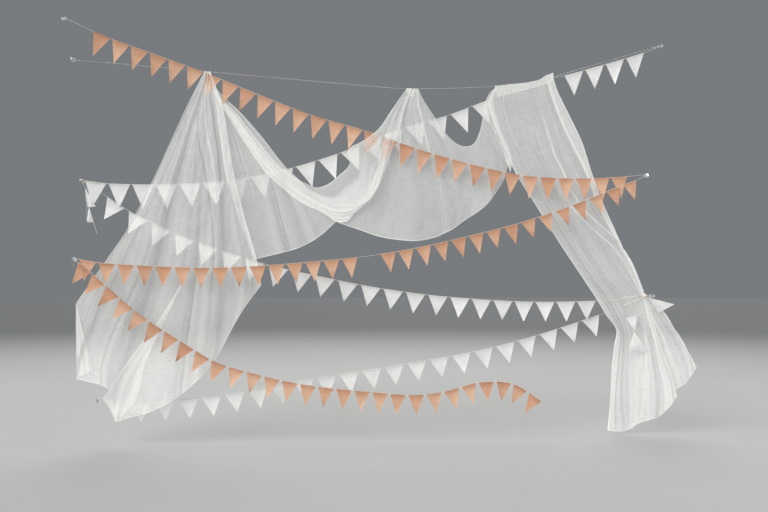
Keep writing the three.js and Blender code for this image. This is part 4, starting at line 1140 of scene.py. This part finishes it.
garland("top_copper_garland", "large_copper",
        [("left_top_garland_anchor", 0), ("right_copper_garland_anchor", 25)],
        [[-20.8, -118.1, 385], [250, -75, 270], [790, -40, 90], [1295, -2.2, -70], [1880, -35, -300],
         [2430, -60, -505], [2980, -85, -655], [3540, -112, -840], [4100, -140, -992], [4670, -165, -1108],
         [5270, -192, -1136], [5800, -226, -1110], [6018.2, -242.3, -1084.4]],
        bare=0.279, pitch=0.1947, count=30, bow=-0.007, seed=100)
garland("middle_copper_garland_left", "small_copper",
        [("left_copper_garland_anchor", 15)],
        [[137.2, -249.7, -2024.9], [330, -262, -2060], [890, -262, -2095], [1420, -262, -2110],
         [1950, -262, -2085], [2530, -262, -2035], [2870, -260, -2000], [3000, -260, -1983]],
        bare=0.027, pitch=0.1841, count=15, bow=-0.013, seed=101)
garland("middle_copper_garland_right", "small_copper",
        [("right_copper_garland_anchor", -25)],
        [[3000.35, -260, -1983], [3120, -260, -1965], [3490, -262, -1900], [4080, -263, -1765],
         [4630, -264, -1620], [5200, -262, -1430], [5760, -258, -1206], [5950, -254, -1137],
         [6018.3, -244.4, -1102.1]],
        bare=0.133, pitch=0.1962, count=15, bow=-0.035, seed=102)
garland("low_copper_garland", "small_copper",
        [("left_copper_garland_anchor", -40)],
        [[132.6, -250.5, -2044.3], [158, -276, -2064], [190, -281, -2090], [290, -281, -2170],
         [550, -280, -2410], [820, -280, -2632], [1130, -280, -2830], [1460, -280, -3040],
         [1780, -280, -3145], [2280, -280, -3270], [2720, -280, -3335], [3070, -280, -3370],
         [3440, -280, -3410], [3800, -280, -3380], [4150, -280, -3290], [4530, -280, -3310],
         [4830, -280, -3500], [4834.1, -280, -3504.1]],
        bare=0.036, pitch=0.1838, count=28, bow=-0.050, seed=103)
garland("bottom_white_garland", "short_white",
        [("left_bottom_garland_anchor", 0), ("tieback_anchor", -65)],
        [[340.2, 20, -3440], [630, 20, -3460], [1070, 18, -3440], [1530, 16, -3400], [1950, 15, -3330],
         [2430, 14, -3260], [2910, 12, -3190], [3390, 10, -3120], [3880, 10, -3045], [4380, 8, -2950],
         [4860, 5, -2830], [5610, 8, -2600], [6000, 10, -2470], [6135, -8, -2425],
         [6164.2, -54.3, -2416.7]],
        bare=0.053, pitch=0.2419, count=22, bow=-0.061, seed=104)
garland("middle_white_garland", "short_white",
        [("left_white_garland_anchor", -30), ("tieback_anchor", 40)],
        [[142.2, 51, -1236.1], [220, 66, -1290], [330, 66, -1360], [590, 60, -1530], [1090, 48, -1770],
         [1880, 32, -2040], [2530, 0, -2190], [3200, -25, -2320], [3940, -45, -2410], [4810, -65, -2460],
         [5520, -95, -2450], [5820, -98, -2430], [6155, -61, -2385.8]],
        bare=0.265, pitch=0.2442, count=22, bow=0.085, seed=105)
garland("top_white_garland_left", "tall_white",
        [("left_white_garland_anchor", 10)],
        [[144.9, 49.3, -1221.1], [210, 42, -1239], [380, 42, -1248], [820, 44, -1250], [1290, 46, -1225],
         [1670, 46, -1180], [2190, 42, -1062], [2720, 38, -888], [3400, 34, -605], [3910, 30, -447],
         [4340, 28, -275], [4940, 26, -75], [5010, 20, -48], [5039.2, 2.9, -15.6]],
        bare=0.003, pitch=0.246, count=18, bow=-0.060, seed=106)
garland("top_white_garland_right", "wide_white",
        [("right_line_anchor", -20)],
        [[5044, 2.8, -13.9], [5150, 14, 10], [5420, 14, 88], [6160, 12, 325], [6311.1, 0.4, 387.4]],
        bare=0.183, pitch=0.251, count=4, bow=0, seed=107, plumb=1)


# Tieback and hanging ends

def tieback():
    """The strand that takes in the right half of the panel, a second turn over it and their knot."""
    lower = mm([[6153, -62, -2411], [6070, -88, -2412], [5948, -106, -2452], [5856, -100, -2490],
                [5846, -62, -2500]])
    upper = mm([[6150, -66, -2400], [6070, -92, -2396], [5948, -110, -2402], [5846, -104, -2412],
                [5838, -62, -2418]])
    parts = [tube(even(lower, 60), STRAND_RADIUS), tube(even(upper, 60), STRAND_RADIUS),
             tie("tieback_anchor", -30, radius=0.0017),
             knot((6.082, -0.096, -2.398), (1, 0, 0), radius=0.0060),
             knot((6.064, -0.096, -2.406), (1, 0, 0.3), radius=0.0045)]
    solid_piece("tieback_strand_twine", "twine", "tieback_strand", parts)


def hanging_end(name, eye, angle, route, corners, seed):
    """The free end of a garland. Each pennant is given by the two ends of its hem and its tip."""
    solid_piece(name + "_string", "twine", name,
                [tube(even(mm(route), 90), TWINE_RADIUS), tie(eye, angle, TWINE_RADIUS)])
    rng = np.random.default_rng(seed)
    share = np.linspace(0, 1, 16)[:, None]
    t = np.linspace(0, 1, 16)[None, :]
    down = share[..., None]
    wave = 0.008 * np.sin(math.pi * share) * np.sin(math.pi * t) + 0.004 * np.sin(5 * t + 3 * share)
    uv = np.stack(np.broadcast_arrays(t * 0.2 * (1 - share), share * 0.24), axis=-1)
    edge = 0.1 * np.minimum(t, 1 - t) * (1 - share) + 0.0005
    cloth = Pennants()
    for three in corners:
        a, b, tip = mm(three)
        square = np.cross(b - a, tip - a)
        left = a + (tip - a) * down
        right = b + (tip - b) * down
        points = left + (right - left) * t[..., None] + unit(square) * wave[..., None]
        cloth.add(points, uv, edge, share, rng.uniform(0, 1))
    # The pennants fill a little over half of the rectangle that they are cut from
    cloth.make(name, "white_cloth")


tieback()
hanging_end(
    "hanging_garland_end", "tieback_anchor", 5,
    [[6153, -65.4, -2398.3], [6125, -112, -2420], [6160, -118, -2500], [6100, -124, -2560],
     [5985, -130, -2600], [5945, -138, -2690], [5925, -146, -2790], [5862, -156, -2975]],
    [[[6125, -113, -2420], [6215, -122, -2585], [6410, -117, -2490]],
     [[5985, -130, -2595], [5840, -132, -2640], [5940, -144, -2775]],
     [[5860, -156, -2980], [6080, -158, -3020], [5928, -146, -2785]]], seed=300)
hanging_end(
    "left_hanging_garland_end", "left_white_garland_anchor", -75,
    [[128.8, 50.3, -1246.5], [146, 54, -1295], [149, 56, -1386], [163, 60, -1477], [163, 62, -1559],
     [170, 64, -1630], [199, 64, -1646], [226, 64, -1639], [244, 62, -1685], [265, 60, -1762]],
    [[[145, 54, -1290], [169, 60, -1489], [249, 64, -1480]],
     [[165, 65, -1640], [227, 65, -1636], [181, 67, -1476]]], seed=301)


# Studio

FLOOR_RADIUS = 120
FLOOR_SIDES = 96
FLOOR_CENTRE = (3.0, 0.0, GROUND)


def studio_floor():
    """A wide pale disc that darkens far from the part, so that the sheer cloth shows against it."""
    n = Nodes("studio_floor")
    patches = n.noise(n.place(), 0.6, 4.0)
    near = n.blend(patches, (0.41, 0.41, 0.404, 1), (0.44, 0.44, 0.434, 1))
    away = n.add("VectorMath", {0: n.place(), 1: FLOOR_CENTRE}, "Value", operation="DISTANCE")
    colour = n.blend(n.span(away, 5.0, 26.0, 0.0, 1.0), near, (0.128, 0.134, 0.139, 1))
    grain = n.bump(n.noise(n.place(), 60.0, 3.0), 0.002, 0.3)
    material = n.finish(n.principled(colour, 0.9, Normal=grain, Specular_IOR_Level=0.1))
    angle = np.linspace(0, 2 * math.pi, FLOOR_SIDES + 1)[:-1]
    ring = np.stack([FLOOR_CENTRE[0] + FLOOR_RADIUS * np.cos(angle), FLOOR_RADIUS * np.sin(angle),
                     np.full(FLOOR_SIDES, GROUND)], axis=-1)
    make_mesh("studio_floor", ring, [tuple(range(FLOOR_SIDES))], material)


def sun(name, strength, place, target, spread, colour):
    """A soft sun that shines from a place towards a target. spread is its width in degrees."""
    light = bpy.data.lights.new(name, "SUN")
    light.energy = strength
    light.color = colour
    light.angle = math.radians(spread)
    made = bpy.data.objects.new(name, light)
    made.location = place
    made.rotation_euler = (Vector(target) - Vector(place)).to_track_quat("-Z", "Y").to_euler()
    bpy.context.scene.collection.objects.link(made)


def studio():
    scene = bpy.context.scene
    scene.world = bpy.data.worlds.new("studio")
    scene.world.use_nodes = True
    sky = scene.world.node_tree.nodes["Background"]
    sky.inputs["Color"].default_value = (0.19, 0.20, 0.21, 1)
    sky.inputs["Strength"].default_value = 1.0
    studio_floor()
    sun("key", 4.2, (-7.0, -8.0, 4.5), target=(2.8, 0, -1.8), spread=62, colour=(1.0, 0.985, 0.96))
    sun("fill", 0.9, (12.0, -7.0, 1.5), target=(4.0, 0, -2.0), spread=62, colour=(0.95, 0.98, 1.0))
    sun("back", 1.8, (5.5, 8.0, 5.0), target=(3.2, 0, -1.5), spread=50, colour=(1.0, 1.0, 1.0))
    scene.view_settings.view_transform = "Standard"
    scene.view_settings.look = "None"
    scene.view_settings.exposure = 0.0
    scene.cycles.transparent_max_bounces = 48


studio()
